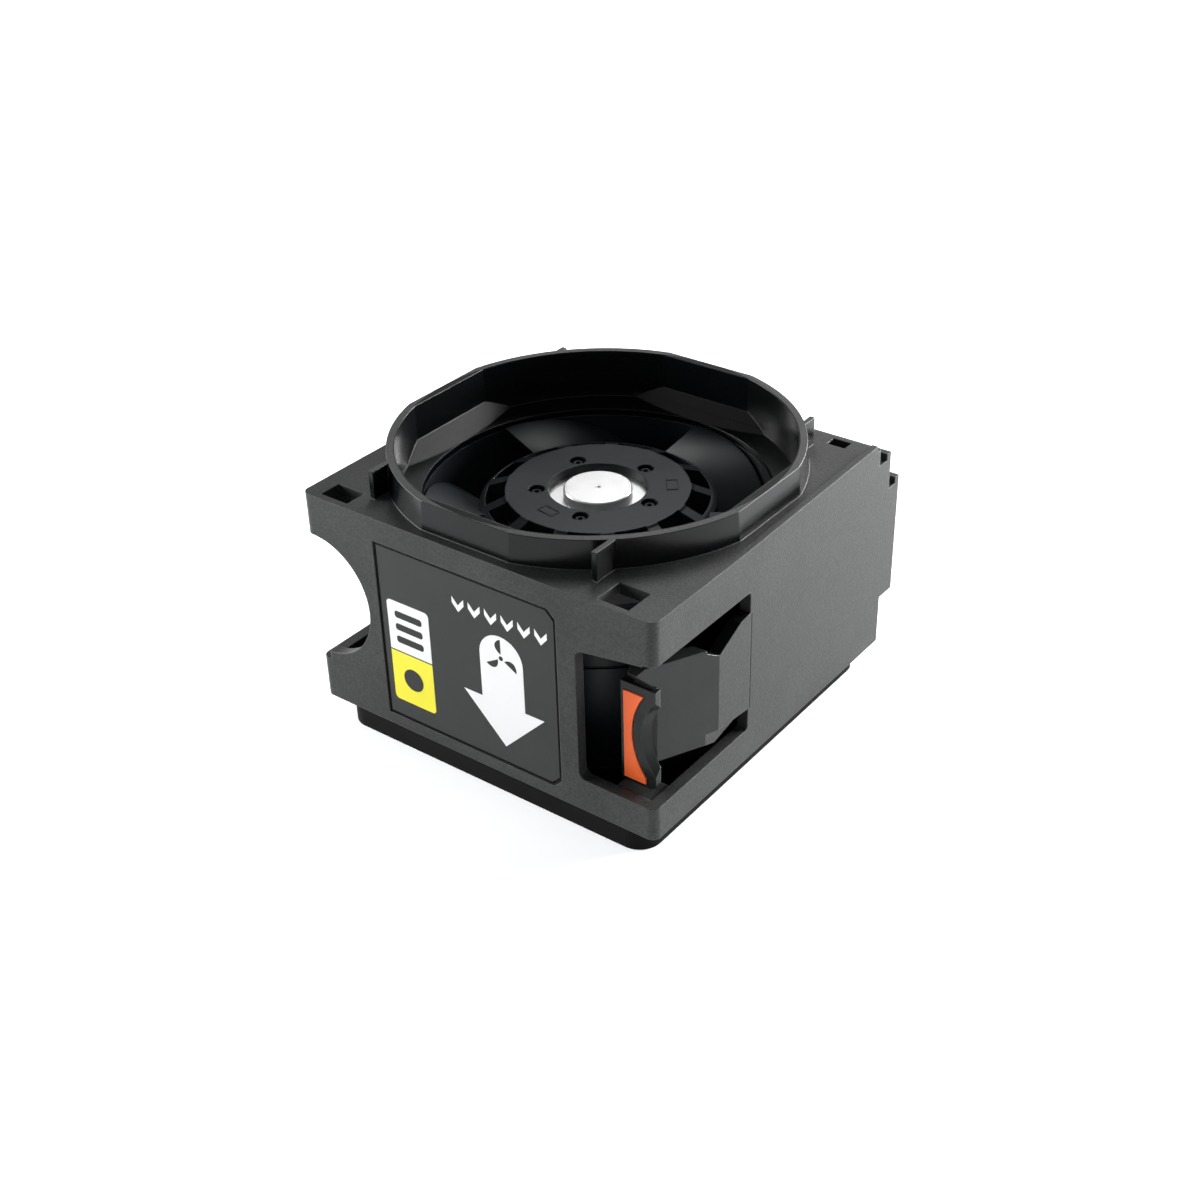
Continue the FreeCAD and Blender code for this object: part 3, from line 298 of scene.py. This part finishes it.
def solder_mask(name, colour, track, pitch_mm):
    """A glossy mask over raised tracks this far apart."""
    made, tree = new_material(name)
    place = add(tree, "TexCoord").outputs["Object"]
    cells = add(tree, "TexVoronoi",
                {"feature": "DISTANCE_TO_EDGE", "distance": "MANHATTAN", "Scale": scale_for(pitch_mm)},
                {"Vector": place})
    tracks = add(tree, "MapRange", {"From Min": 0.03, "From Max": 0.09, "To Min": 1.0, "To Max": 0.0},
                 {"Value": cells.outputs["Distance"]})
    tint = add(tree, "Mix", {"data_type": "RGBA", 6: linear(colour), 7: linear(track)},
               {"Factor": tracks.outputs["Result"]})
    bump = add(tree, "Bump", {"Strength": 0.6, "Distance": 0.03 * MM}, {"Height": tracks.outputs["Result"]})
    surface = add(tree, "BsdfPrincipled",
                  {"Roughness": 0.3, "IOR": 1.5, "Coat Weight": 0.2, "Coat Roughness": 0.15},
                  {"Base Color": tint.outputs[2], "Normal": bump.outputs["Normal"]})
    add(tree, "OutputMaterial", links={"Surface": surface.outputs["BSDF"]})
    return made


green_board = solder_mask("solder_mask_on_glass_epoxy", "#0f3d22", "#1d6a3a", 1.6)
print("board:", green_board.name)

# %% [markdown]
# ## Which piece is made of what
# Every node of the CAD model keeps its shape and gets a material.  The table reads as a bill of
# materials, from the carrier inwards.  Two nodes in it, the latch and its touch point, are shown by
# finer pieces further down.

# %% Dress the CAD nodes
FINISHES = {
    eroded_pc_abs: ["housing"],
    smooth_pc_abs: ["release_latch"],
    foot_abs: ["outlet_cover"],
    label_film: ["face_label"],
    orange_tpe: ["touch_pad"],
    glass_filled_pbt: ["fan_frame", "impeller"],
    black_zinc_steel: ["cover_screws"],
    turned_aluminium: ["rotor_boss"],
    zinc_plated_steel: ["rotor_yoke"],
    bonded_ferrite: ["rotor_magnet"],
    ground_steel: ["shaft", "shaft_clip", "preload_spring"],
    turned_brass: ["bearing_tube"],
    bearing_steel: ["lower_bearing_outer", "lower_bearing_inner", "lower_bearing_balls",
                    "upper_bearing_outer", "upper_bearing_inner", "upper_bearing_balls"],
    silicon_steel: ["stator_core"],
    nylon_natural: ["lower_insulator", "upper_insulator"],
    enamelled_copper: ["windings"],
    green_board: ["motor_board"],
    chip_epoxy: ["board_components"],
    plug_lcp: ["plug_body"],
    gold_plated_bronze: ["plug_contacts"],
}


dressed = set()
for finish, names in FINISHES.items():
    for name in names:
        piece = nodes[name]
        piece.data.materials.clear()
        piece.data.materials.append(finish)
        dressed.add(name)
print("dressed:", len(dressed), "left plain:", sorted(set(nodes) - dressed))

# %% [markdown]
# ## A helper for solid pieces
# Some things that the eye meets are finished here: the latch with its touch point, the closed heel
# under the rear of the inlet collar, the rounded corners of the side window, the marks on the hub
# and the ink.  All of them have a flat outline along one axis, so they are made as prisms.  Where
# needed they are joined or cut with the Boolean modifier, which gives clean edges and closed solids.

# %% Prisms and Booleans
FLATTER = math.radians(6)


def outline_prism(name, outline, axis, low, high):
    """A closed solid: an outline in millimetres in the plane across an axis, from low to high along it."""
    def place(first, second, third):
        return {"X": (third, first, second), "Y": (first, third, second), "Z": (first, second, third)}[axis]

    mesh = bmesh.new()
    rings = [[mesh.verts.new([value * MM for value in place(a, b, height)]) for a, b in outline]
             for height in (low, high)]
    mesh.faces.new(rings[0])
    mesh.faces.new(reversed(rings[1]))
    for here in range(len(outline)):
        there = (here + 1) % len(outline)
        mesh.faces.new((rings[0][here], rings[1][here], rings[1][there], rings[0][there]))
    bmesh.ops.recalc_face_normals(mesh, faces=mesh.faces)
    data = bpy.data.meshes.new(name)
    mesh.to_mesh(data)
    mesh.free()
    piece = bpy.data.objects.new(name, data)
    bpy.context.scene.collection.objects.link(piece)
    return piece


def circle(centre, radius, steps=96):
    """Points round a circle."""
    return [(centre[0] + radius * math.cos(math.tau * step / steps),
             centre[1] + radius * math.sin(math.tau * step / steps)) for step in range(steps)]


def combine(piece, operation, tool):
    """Apply one Boolean to a piece and throw the tool away."""
    step = piece.modifiers.new(operation, "BOOLEAN")
    step.operation, step.object, step.solver = operation, tool, "EXACT"
    bpy.context.view_layer.update()
    made = bpy.data.meshes.new_from_object(piece.evaluated_get(bpy.context.evaluated_depsgraph_get()))
    piece.modifiers.clear()
    piece.data = made
    bpy.data.objects.remove(tool)
    return piece


def finish_piece(piece, finish, body):
    """Smooth curved faces, give the material, and make the piece ride on its body."""
    piece.data.materials.clear()
    piece.data.materials.append(finish)
    piece.data.shade_smooth()
    piece.data.set_sharp_from_angle(angle=FLATTER)
    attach(piece, body)
    return piece


def corners_of(name):
    """The low and the high corner of a node's box, in millimetres."""
    low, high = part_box(name)
    return [value / MM for value in low], [value / MM for value in high]


print("pieces stay smooth across turns under", round(math.degrees(FLATTER)), "degrees")

# %% [markdown]
# ## The thumb latch
# On the real module the latch is one bent leaf of the side wall.  A thumb presses its flange towards
# the fan and the leaf springs back.  The flange has a round bite taken out of it at a slant, which
# leaves the slim curved lip that the orange touch point follows.  The CAD node carries the motion;
# this piece has the same box and shows the lip, the notched top and bottom edges and the bite.  At
# its root the leaf is still the side wall, so it has the wall's sandy skin there and is smooth
# beyond the bend.

# %% The leaf and its flange
(left, front, low), (right, back, high) = corners_of("release_latch")
PIN_X, PIN_Y = right - 1.0, back - 1.0
ARM_LOW, ARM_HIGH = low + 3.9, high - 0.8
BEND_Y = PIN_Y - 8.55
FLANGE_Y = front + 2.6
BEND = math.tan(math.radians(15))
end = right - (BEND_Y - FLANGE_Y) * BEND
latch = outline_prism("thumb_latch", [
    (right, PIN_Y + 0.28), (right, BEND_Y), (end - 0.7, front), (end - 2.2, front),
    (end - 3.6, FLANGE_Y + 1.3), (right - 2, BEND_Y), (right - 2, PIN_Y)], "Z", low, high)
side = [
    (PIN_Y + 2, ARM_HIGH), (PIN_Y - 0.6, ARM_HIGH), (PIN_Y - 2.7, ARM_HIGH - 0.25), (BEND_Y, ARM_HIGH - 3.1),
    (BEND_Y - 2.4, ARM_HIGH - 1.8), (BEND_Y - 2.5, ARM_HIGH - 1.2), (FLANGE_Y - 1, high), (front, high - 0.5),
    (FLANGE_Y + 0.85, high - 4.2), (FLANGE_Y, high - 4.8), (FLANGE_Y, ARM_LOW + 1),
    (BEND_Y - 2.7, ARM_LOW - 0.8), (BEND_Y - 0.1, ARM_LOW - 1.7), (PIN_Y - 0.6, ARM_LOW),
    (PIN_Y + 2, ARM_LOW)]
combine(latch, "INTERSECT", outline_prism("side_outline", side, "X", left, right + 1))
under = [(PIN_Y - 0.6, ARM_LOW), (BEND_Y - 3.1, ARM_LOW + 1.3), (BEND_Y - 2.7, ARM_LOW - 0.9),
         (BEND_Y - 0.1, ARM_LOW - 1.8)]
combine(latch, "DIFFERENCE", outline_prism("under_step", under, "X", right - 0.7, right + 1))
FLANGE_HIGH, FLANGE_RIGHT, FLANGE_ROUND = high - 4.4, left + 6.5, 1.3
FLANGE_BACK = FLANGE_Y + 1.3
plate = [(left, low), (FLANGE_RIGHT - FLANGE_ROUND, low)]
plate += [(FLANGE_RIGHT - FLANGE_ROUND + FLANGE_ROUND * math.sin(turn),
           low + FLANGE_ROUND - FLANGE_ROUND * math.cos(turn)) for turn in (0.39, 0.79, 1.18, 1.57)]
plate += [(FLANGE_RIGHT, FLANGE_HIGH), (left, FLANGE_HIGH)]
combine(latch, "UNION", outline_prism("flange", plate, "Y", FLANGE_Y, FLANGE_BACK))
pin = outline_prism("root_pin", circle((PIN_X, PIN_Y), 1.0, 48), "Z", ARM_LOW, ARM_HIGH)
combine(latch, "UNION", pin)
print("leaf from y =", round(front, 1), "to", round(back, 1), "mm")

# %% The slanted bite and the touch point
BITE_X, BITE_Z, BITE_RADIUS, BITE_SLANT = left + 19.3, low + 9.5, 12.2, math.radians(38.5)
bite = outline_prism("bite", circle((0, 0), BITE_RADIUS), "Z", -15, 16)
bite.matrix_world = (Matrix.Translation(Vector((BITE_X, FLANGE_Y, BITE_Z)) * MM)
                     @ Matrix.Rotation(-BITE_SLANT, 4, "Z") @ Matrix.Rotation(math.radians(-90), 4, "X"))
before = [(left - 1, front - 6), (right + 2, front - 6), (right + 2, FLANGE_BACK), (left - 1, FLANGE_BACK)]
combine(bite, "INTERSECT", outline_prism("before_flange_back", before, "Z", low - 5, high + 5))
combine(latch, "DIFFERENCE", bite)
PAD_MARGIN, PAD_WIDE, PAD_HIGH = 0.6, 4.7, 16.9
POCKET_DEEP, POCKET_GAP = 0.3, 0.1


def crescent(name, inset, near, far):
    """A tall block whose right side is hollowed round the bite."""
    start, across, up = PAD_MARGIN - inset, left + PAD_WIDE + inset, low + PAD_HIGH + inset
    blank = outline_prism(name, [(left + start, low + start), (across, low + start), (across, up),
                                 (left + start, up)], "Y", near, far)
    round_side = outline_prism("round_side", circle((left + 15.2, BITE_Z), 13.1 - inset), "Y",
                               near - 1, far + 1)
    return combine(blank, "DIFFERENCE", round_side)


combine(latch, "DIFFERENCE", crescent("pad_pocket", POCKET_GAP, FLANGE_Y - 1, FLANGE_Y + POCKET_DEEP))
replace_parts(finish_piece(latch, smooth_pc_abs, "latch"), "release_latch")
latch.data.materials.append(eroded_pc_abs)
for face in latch.data.polygons:
    if face.normal.x > 0.98:
        face.material_index = 1
pad = crescent("orange_touch_point", 0.0, FLANGE_Y - 0.2, FLANGE_Y + POCKET_DEEP)
soften = pad.modifiers.new("soft corners", "BEVEL")
soften.width, soften.segments = 0.3 * MM, 3
soften.limit_method, soften.angle_limit = "ANGLE", math.radians(40)
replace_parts(finish_piece(pad, orange_tpe, "latch"), "touch_pad")
print("latch faces:", len(latch.data.polygons))

# %% [markdown]
# ## Collar heel and window corners
# The inlet collar stands out a little behind the deck.  A short skirt under it closes the gap down
# to the step of the back, so that no light comes through.  The side window has rounded corners at
# its rear end, because a moulding tool has no sharp inner corners.

# %% The heel and the corners
(box_left, box_front, box_low), (box_right, box_back, box_high) = corners_of("housing")
HEEL_TOP, HEEL_DEEP, HEEL_RADIUS = box_high - 5.9, 2.7, 35.0
HEEL_HALF, HEEL_FRONT, HEEL_BACK = 30, 28, 33.77
AIR_RADIUS, BEYOND = 33.23, 40
heel = outline_prism("collar_heel", circle((0, 0), HEEL_RADIUS, 144), "Z", HEEL_TOP - HEEL_DEEP, HEEL_TOP)
bounds = [(-HEEL_HALF, HEEL_FRONT), (HEEL_HALF, HEEL_FRONT), (HEEL_HALF, HEEL_BACK), (-HEEL_HALF, HEEL_BACK)]
combine(heel, "INTERSECT", outline_prism("heel_bounds", bounds, "Z", HEEL_TOP - 4, HEEL_TOP + 1))
air = outline_prism("air", circle((0, 0), AIR_RADIUS, 144), "Z", HEEL_TOP - 5, HEEL_TOP + 2)
slope = [(-BEYOND, HEEL_TOP - 5), (29.53, HEEL_TOP - 5), (29.53, HEEL_TOP - 3.85), (31.98, HEEL_TOP - 0.45),
         (31.98, HEEL_TOP + 2), (-BEYOND, HEEL_TOP + 2)]
combine(air, "INTERSECT", outline_prism("air_flat", slope, "X", -BEYOND, BEYOND))
combine(heel, "DIFFERENCE", air)
finish_piece(heel, eroded_pc_abs, "chassis")

WINDOW_BACK, WINDOW_TOP, WINDOW_FOOT, ROUND = back - 1.0, 36.9, 10.8, 0.8
WALL, SUNK = 1.99, 0.05
for number, (edge, way) in enumerate(((WINDOW_TOP, -1), (WINDOW_FOOT, 1))):
    turns = [math.radians(90 * step / 8) for step in range(9)]
    fillet = [(WINDOW_BACK + SUNK, edge - way * SUNK), (WINDOW_BACK - ROUND, edge - way * SUNK)]
    fillet += [(WINDOW_BACK - ROUND + ROUND * math.sin(turn), edge + way * ROUND * (1 - math.cos(turn)))
               for turn in turns]
    fillet.append((WINDOW_BACK + SUNK, edge + way * ROUND))
    piece = outline_prism(f"window_corner_{number}", fillet, "X", box_right - WALL, box_right - 0.006)
    finish_piece(piece, eroded_pc_abs, "chassis")
print("heel faces:", len(heel.data.polygons))

# %% [markdown]
# ## Insert marks on the hub
# The mould of the impeller has two small exchangeable inserts, and the joint round each leaves a
# thin raised frame on the hub's face.  They are drawn as closed frames a tenth of a millimetre high.

# %% Two raised frames
HUB_TOP = corners_of("impeller")[1][2]
FRAME_HALF_WIDE, FRAME_HALF_DEEP, FRAME_LINE, FRAME_RISE = 1.75, 1.0, 0.16, 0.099
FRAME_SPOTS = ((261.4, 11.3), (37.6, 12.4))


def box_outline(across, up):
    """A plain box round the middle, given by half its sides."""
    return [(-across, -up), (across, -up), (across, up), (-across, up)]


for number, (angle, reach) in enumerate(FRAME_SPOTS):
    outside = box_outline(FRAME_HALF_DEEP, FRAME_HALF_WIDE)
    inside = box_outline(FRAME_HALF_DEEP - FRAME_LINE, FRAME_HALF_WIDE - FRAME_LINE)
    mark = outline_prism(f"insert_frame_{number}", outside, "Z", HUB_TOP, HUB_TOP + FRAME_RISE)
    combine(mark, "DIFFERENCE", outline_prism("inner", inside, "Z", HUB_TOP - 1, HUB_TOP + 1))
    turn = Matrix.Rotation(math.radians(angle), 4, "Z")
    mark.data.transform(turn @ Matrix.Translation((reach * MM, 0, 0)))
    finish_piece(mark, glass_filled_pbt, "rotor")
print("frames at z =", round(HUB_TOP, 2), "mm")

# %% [markdown]
# ## What is printed on the label
# A screen print is a layer of ink some hundredths of a millimetre thick, with crisp edges.  It could
# be a pattern inside the label's material, but a thin closed solid for each ink gives edges that
# stay sharp at any distance.  Each outline is drawn flat on the label's face and then thickened.
# A thin black line round the label's edge is painted shade, for the groove that the label sits in.
# The marks say only what anyone would expect on such a fan: which way the air goes.

# %% A helper that lays ink on the label
label_low, label_high = corners_of("face_label")
label_middle = (label_low[0] + label_high[0]) / 2
LABEL_FACE = label_low[1]
INK = 0.02


def lay_ink(name, outline, ink, layer=0):
    """A thin closed solid from an outline in millimetres across and up the label's face."""
    near = LABEL_FACE - layer * INK
    piece = outline_prism(name, outline, "Y", near - INK, near)
    piece.data.materials.append(ink)
    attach(piece, "chassis")
    return piece


def arc(centre, radius, start, end, steps=24):
    """Points along an arc, with angles in degrees."""
    angles = [math.radians(start + (end - start) * step / steps) for step in range(steps + 1)]
    return [(centre[0] + radius * math.cos(a), centre[1] + radius * math.sin(a)) for a in angles]


def rounded_box(left, right, low, high, radius, corners="1111"):
    """A box whose corners are rounded where the word has a 1: low left, low right, high right, high left."""
    spots = [(left + radius, low + radius, 180), (right - radius, low + radius, 270),
             (right - radius, high - radius, 0), (left + radius, high - radius, 90)]
    plain = [(left, low), (right, low), (right, high), (left, high)]
    points = []
    for wanted, (x, z, start), corner in zip(corners, spots, plain):
        points += arc((x, z), radius, start, start + 90, 6) if wanted == "1" else [corner]
    return points


print("label face at y =", round(LABEL_FACE, 2), "mm")

# %% The painted shade round the label
CUT, SHADE_LINE, KEEP_IN = 1.5, 0.25, 0.02


def label_outline(inset):
    """The label's own outline, with its two right corners cut, drawn in by an inset."""
    left, right = label_low[0] + inset, label_high[0] - inset
    foot, head = label_low[2] + inset, label_high[2] - inset
    return [(left, foot), (right - CUT, foot), (right, foot + CUT), (right, head - CUT),
            (right - CUT, head), (left, head)]


# The black line round the label is painted shade: it darkens the groove between the label and its recess.
groove_shade = outline_prism("label_groove_shade", label_outline(KEEP_IN), "Y", LABEL_FACE - INK, LABEL_FACE)
combine(groove_shade, "DIFFERENCE", outline_prism("inner", label_outline(SHADE_LINE), "Y", LABEL_FACE - 1, LABEL_FACE + 1))
finish_piece(groove_shade, groove_shade_black, "chassis")
print("rim is", SHADE_LINE, "mm wide")

# %% The airflow arrow
ARROW_X = label_middle + 7.15
SHAFT_HALF, HEAD_HALF = 4.36, 8.2
TAIL_Z, BARB_Z, TIP_Z = 27.2, 18.8, 10.5
arrow = arc((ARROW_X, TAIL_Z), SHAFT_HALF, 0, 180)
arrow += [(ARROW_X - SHAFT_HALF, BARB_Z), (ARROW_X - HEAD_HALF, BARB_Z), (ARROW_X, TIP_Z),
          (ARROW_X + HEAD_HALF, BARB_Z), (ARROW_X + SHAFT_HALF, BARB_Z)]
lay_ink("airflow_arrow", arrow, white_ink)
MARK = Vector((ARROW_X, TAIL_Z + 0.3))
MARK_START, MARK_LONG, MARK_WIDE, MARK_HUB, STEPS = 0.75, 2.75, 1.15, 0.42, 12
for number in range(3):
    turn = math.radians(90 + 120 * number)
    along, aside = Vector((math.cos(turn), math.sin(turn))), Vector((-math.sin(turn), math.cos(turn)))
    leaf = [MARK + along * (MARK_START + MARK_LONG * step / STEPS)
            + aside * MARK_WIDE * math.sin(math.pi * step / STEPS) ** 0.7 for step in range(STEPS)]
    leaf.append(MARK + along * (MARK_START + MARK_LONG))
    straight = [MARK + along * (MARK_START + MARK_LONG * step / 4) for step in (3, 2, 1)]
    lay_ink(f"rotor_mark_blade_{number}", [tuple(point) for point in leaf + straight], grey_ink, layer=1)
lay_ink("rotor_mark_hub", arc(MARK, MARK_HUB, 0, 345, 23), grey_ink, layer=1)
print("arrow length:", round(TAIL_Z + SHAFT_HALF - TIP_Z, 1), "mm")

# %% The row of chevrons above the arrow
CHEVRONS, PITCH, CHEVRON_HALF = 6, 3.3, 1.2
for number in range(CHEVRONS):
    x = ARROW_X + PITCH * (number - (CHEVRONS - 1) / 2)
    lay_ink(f"flow_chevron_{number}", [
        (x - CHEVRON_HALF, 35.7), (x, 34.3), (x + CHEVRON_HALF, 35.7), (x + CHEVRON_HALF, 34.5), (x, 33.1),
        (x - CHEVRON_HALF, 34.5)], white_ink)
print("chevrons:", CHEVRONS, "at", PITCH, "mm")

# %% The two-colour patch
PATCH_LEFT, PATCH_RIGHT = label_middle - 16.7, label_middle - 7.75
PATCH_LOW, PATCH_SPLIT, PATCH_HIGH = 10.6, 20.6, 30.2
PATCH_ROUND, SPLIT_GAP = 0.8, 0.25
BAR_HALF, BAR_START, BAR_PITCH, BAR_HIGH, BAR_ROUND, DISC_RADIUS = 2.9, 1.7, 2.4, 1.3, 0.5, 2.1
lay_ink("white_patch", rounded_box(PATCH_LEFT, PATCH_RIGHT, PATCH_SPLIT, PATCH_HIGH, PATCH_ROUND, "0011"),
        white_ink)
lay_ink("yellow_patch", rounded_box(PATCH_LEFT, PATCH_RIGHT, PATCH_LOW, PATCH_SPLIT - SPLIT_GAP, PATCH_ROUND,
                                    "1100"), yellow_ink)
patch_middle = (PATCH_LEFT + PATCH_RIGHT) / 2
for number in range(3):
    foot = PATCH_SPLIT + BAR_START + BAR_PITCH * number
    bar = rounded_box(patch_middle - BAR_HALF, patch_middle + BAR_HALF, foot, foot + BAR_HIGH, BAR_ROUND)
    lay_ink(f"grey_bar_{number}", bar, grey_ink, layer=1)
disc = arc((patch_middle, (PATCH_LOW + PATCH_SPLIT) / 2), DISC_RADIUS, 0, 352, 47)
lay_ink("grey_disc", disc, grey_ink, layer=1)

# %% [markdown]
# ## Stage
# The module lies on a plain white sheet.  The floor is a large white plane, and it stays a true
# floor, because a black plastic wall that leans towards it mirrors it: that mirrored white is what
# makes the walls look grey while the deck, which mirrors the dim ceiling, stays nearly black.
# A little light of its own lifts the floor to plain white where it is looked at, and the module's
# shadow still falls on it.  That light is switched off for the rays that light the module.

# %% Floor and world
PAPER, PAPER_GLOW, FLOOR_RADIUS = "#f2f2f2", 0.5, 2.5
ROOM, ROOM_LIGHT, CEILING_LIGHT = "#e8f2ff", 0.25, 0.15


def looked_at(tree):
    """1 for rays that show a thing to the camera, straight or by a mirror or through glass, else 0."""
    path = add(tree, "LightPath").outputs
    mirrored = add(tree, "Math", {"operation": "ADD"}, {0: path["Is Camera Ray"], 1: path["Is Glossy Ray"]})
    either = add(tree, "Math", {"operation": "ADD", "use_clamp": True},
                 {0: mirrored.outputs["Value"], 1: path["Is Transmission Ray"]})
    return either.outputs["Value"]


floor_sheet, tree = new_material("white_paper")
paper = add(tree, "BsdfDiffuse", {"Color": linear(PAPER)})
lift = add(tree, "Math", {"operation": "MULTIPLY", 1: PAPER_GLOW}, {0: looked_at(tree)})
veil = add(tree, "Emission", {"Color": (1, 1, 1, 1)}, {"Strength": lift.outputs["Value"]})
both = add(tree, "AddShader", links={0: paper.outputs["BSDF"], 1: veil.outputs["Emission"]})
add(tree, "OutputMaterial", links={"Surface": both.outputs["Shader"]})

bpy.ops.mesh.primitive_circle_add(vertices=96, radius=FLOOR_RADIUS, fill_type="NGON",
                                  location=(0, 0, cad_low[2]))
floor = bpy.context.object
floor.name = "floor"
floor.data.materials.append(floor_sheet)

world = bpy.data.worlds.new("studio")
bpy.context.scene.world = world
world.use_nodes = True
tree = world.node_tree
tree.nodes.clear()
room = add(tree, "Background", {"Color": linear(ROOM), "Strength": ROOM_LIGHT})
way = add(tree, "SeparateXYZ", links={"Vector": add(tree, "TexCoord").outputs["Generated"]})
ceiling = add(tree, "MapRange", {"From Min": 0.18, "From Max": 0.42, "To Min": 1.0, "To Max": CEILING_LIGHT},
              {"Value": way.outputs["Z"]})
backdrop = add(tree, "Background", {"Color": (1, 1, 1, 1)}, {"Strength": ceiling.outputs["Result"]})
swap = add(tree, "MixShader", links={"Fac": looked_at(tree), 1: room.outputs["Background"],
                                     2: backdrop.outputs["Background"]})
add(tree, "OutputWorld", links={"Surface": swap.outputs["Shader"]})
print("stage:", floor.name, world.name)

# %% [markdown]
# ## Light
# Three soft lamps.  A wide one stands low behind the latch side and grazes it, so that side is the
# lightest.  A second stands low to the left of the label and grazes the front.  Both graze, because
# light along a black wall shows its sandy skin.  The third is small and hangs behind the module: the
# turned metal in the middle of the fan mirrors it, while the deck round it stays dark.

# %% Lamps
centre = Vector([(a + b) / 2 for a, b in zip(cad_low, cad_high)])
LAMPS = {
    "lamp_right": (155, 13, 0.5, 0.4, 0.15, 8.3),
    "lamp_front": (-66, 14, 0.6, 0.4, 0.25, 5.2),
    "lamp_above": (205, 52, 0.6, 0.25, 0.25, 1.5),
}


def way_to(azimuth, elevation):
    """Where a lamp or camera stands; azimuth 0 is in front of the label, 90 on the latch side."""
    around, up = math.radians(azimuth), math.radians(elevation)
    return Vector((math.sin(around) * math.cos(up), -math.cos(around) * math.cos(up), math.sin(up)))


for name, (azimuth, elevation, distance, width, height, watts) in LAMPS.items():
    way = way_to(azimuth, elevation)
    data = bpy.data.lights.new(name, "AREA")
    data.shape = "RECTANGLE"
    data.size, data.size_y = width, height
    data.energy = watts
    lamp = bpy.data.objects.new(name, data)
    lamp.location = centre + way * distance
    lamp.rotation_euler = (-way).to_track_quat("-Z", "Y").to_euler()
    bpy.context.scene.collection.objects.link(lamp)
print("lamps:", len(bpy.data.lights))

# %% [markdown]
# ## Camera
# The camera looks down on the corner between the label and the latch.  It stands close, about four
# times the module's width away, so the perspective is strong.  It is rolled by a degree and a half.

# %% Camera
AIM = centre + Vector((6.48, -12.84, 1.03)) * MM
AZIMUTH, ELEVATION, ROLL = 37.642, 32.161, -1.540
DISTANCE = 288.381 * MM
LENS, SENSOR = 52.41, 36.0
way = way_to(AZIMUTH, ELEVATION)
data = bpy.data.cameras.new("camera")
data.sensor_width = SENSOR
data.lens = LENS
data.clip_start = 0.01
camera = bpy.data.objects.new("camera", data)
camera.matrix_world = (Matrix.Translation(AIM + way * DISTANCE)
                       @ (-way).to_track_quat("-Z", "Y").to_matrix().to_4x4()
                       @ Matrix.Rotation(math.radians(ROLL), 4, "Z"))
bpy.context.scene.collection.objects.link(camera)
bpy.context.scene.camera = camera
bpy.context.scene.view_settings.view_transform = "Standard"
print("camera at", [round(v / MM, 1) for v in camera.location], "mm")

# %% [markdown]
# The dressed module has to stay inside the CAD model's box.

# %% Update the view layer
bpy.context.view_layer.update()
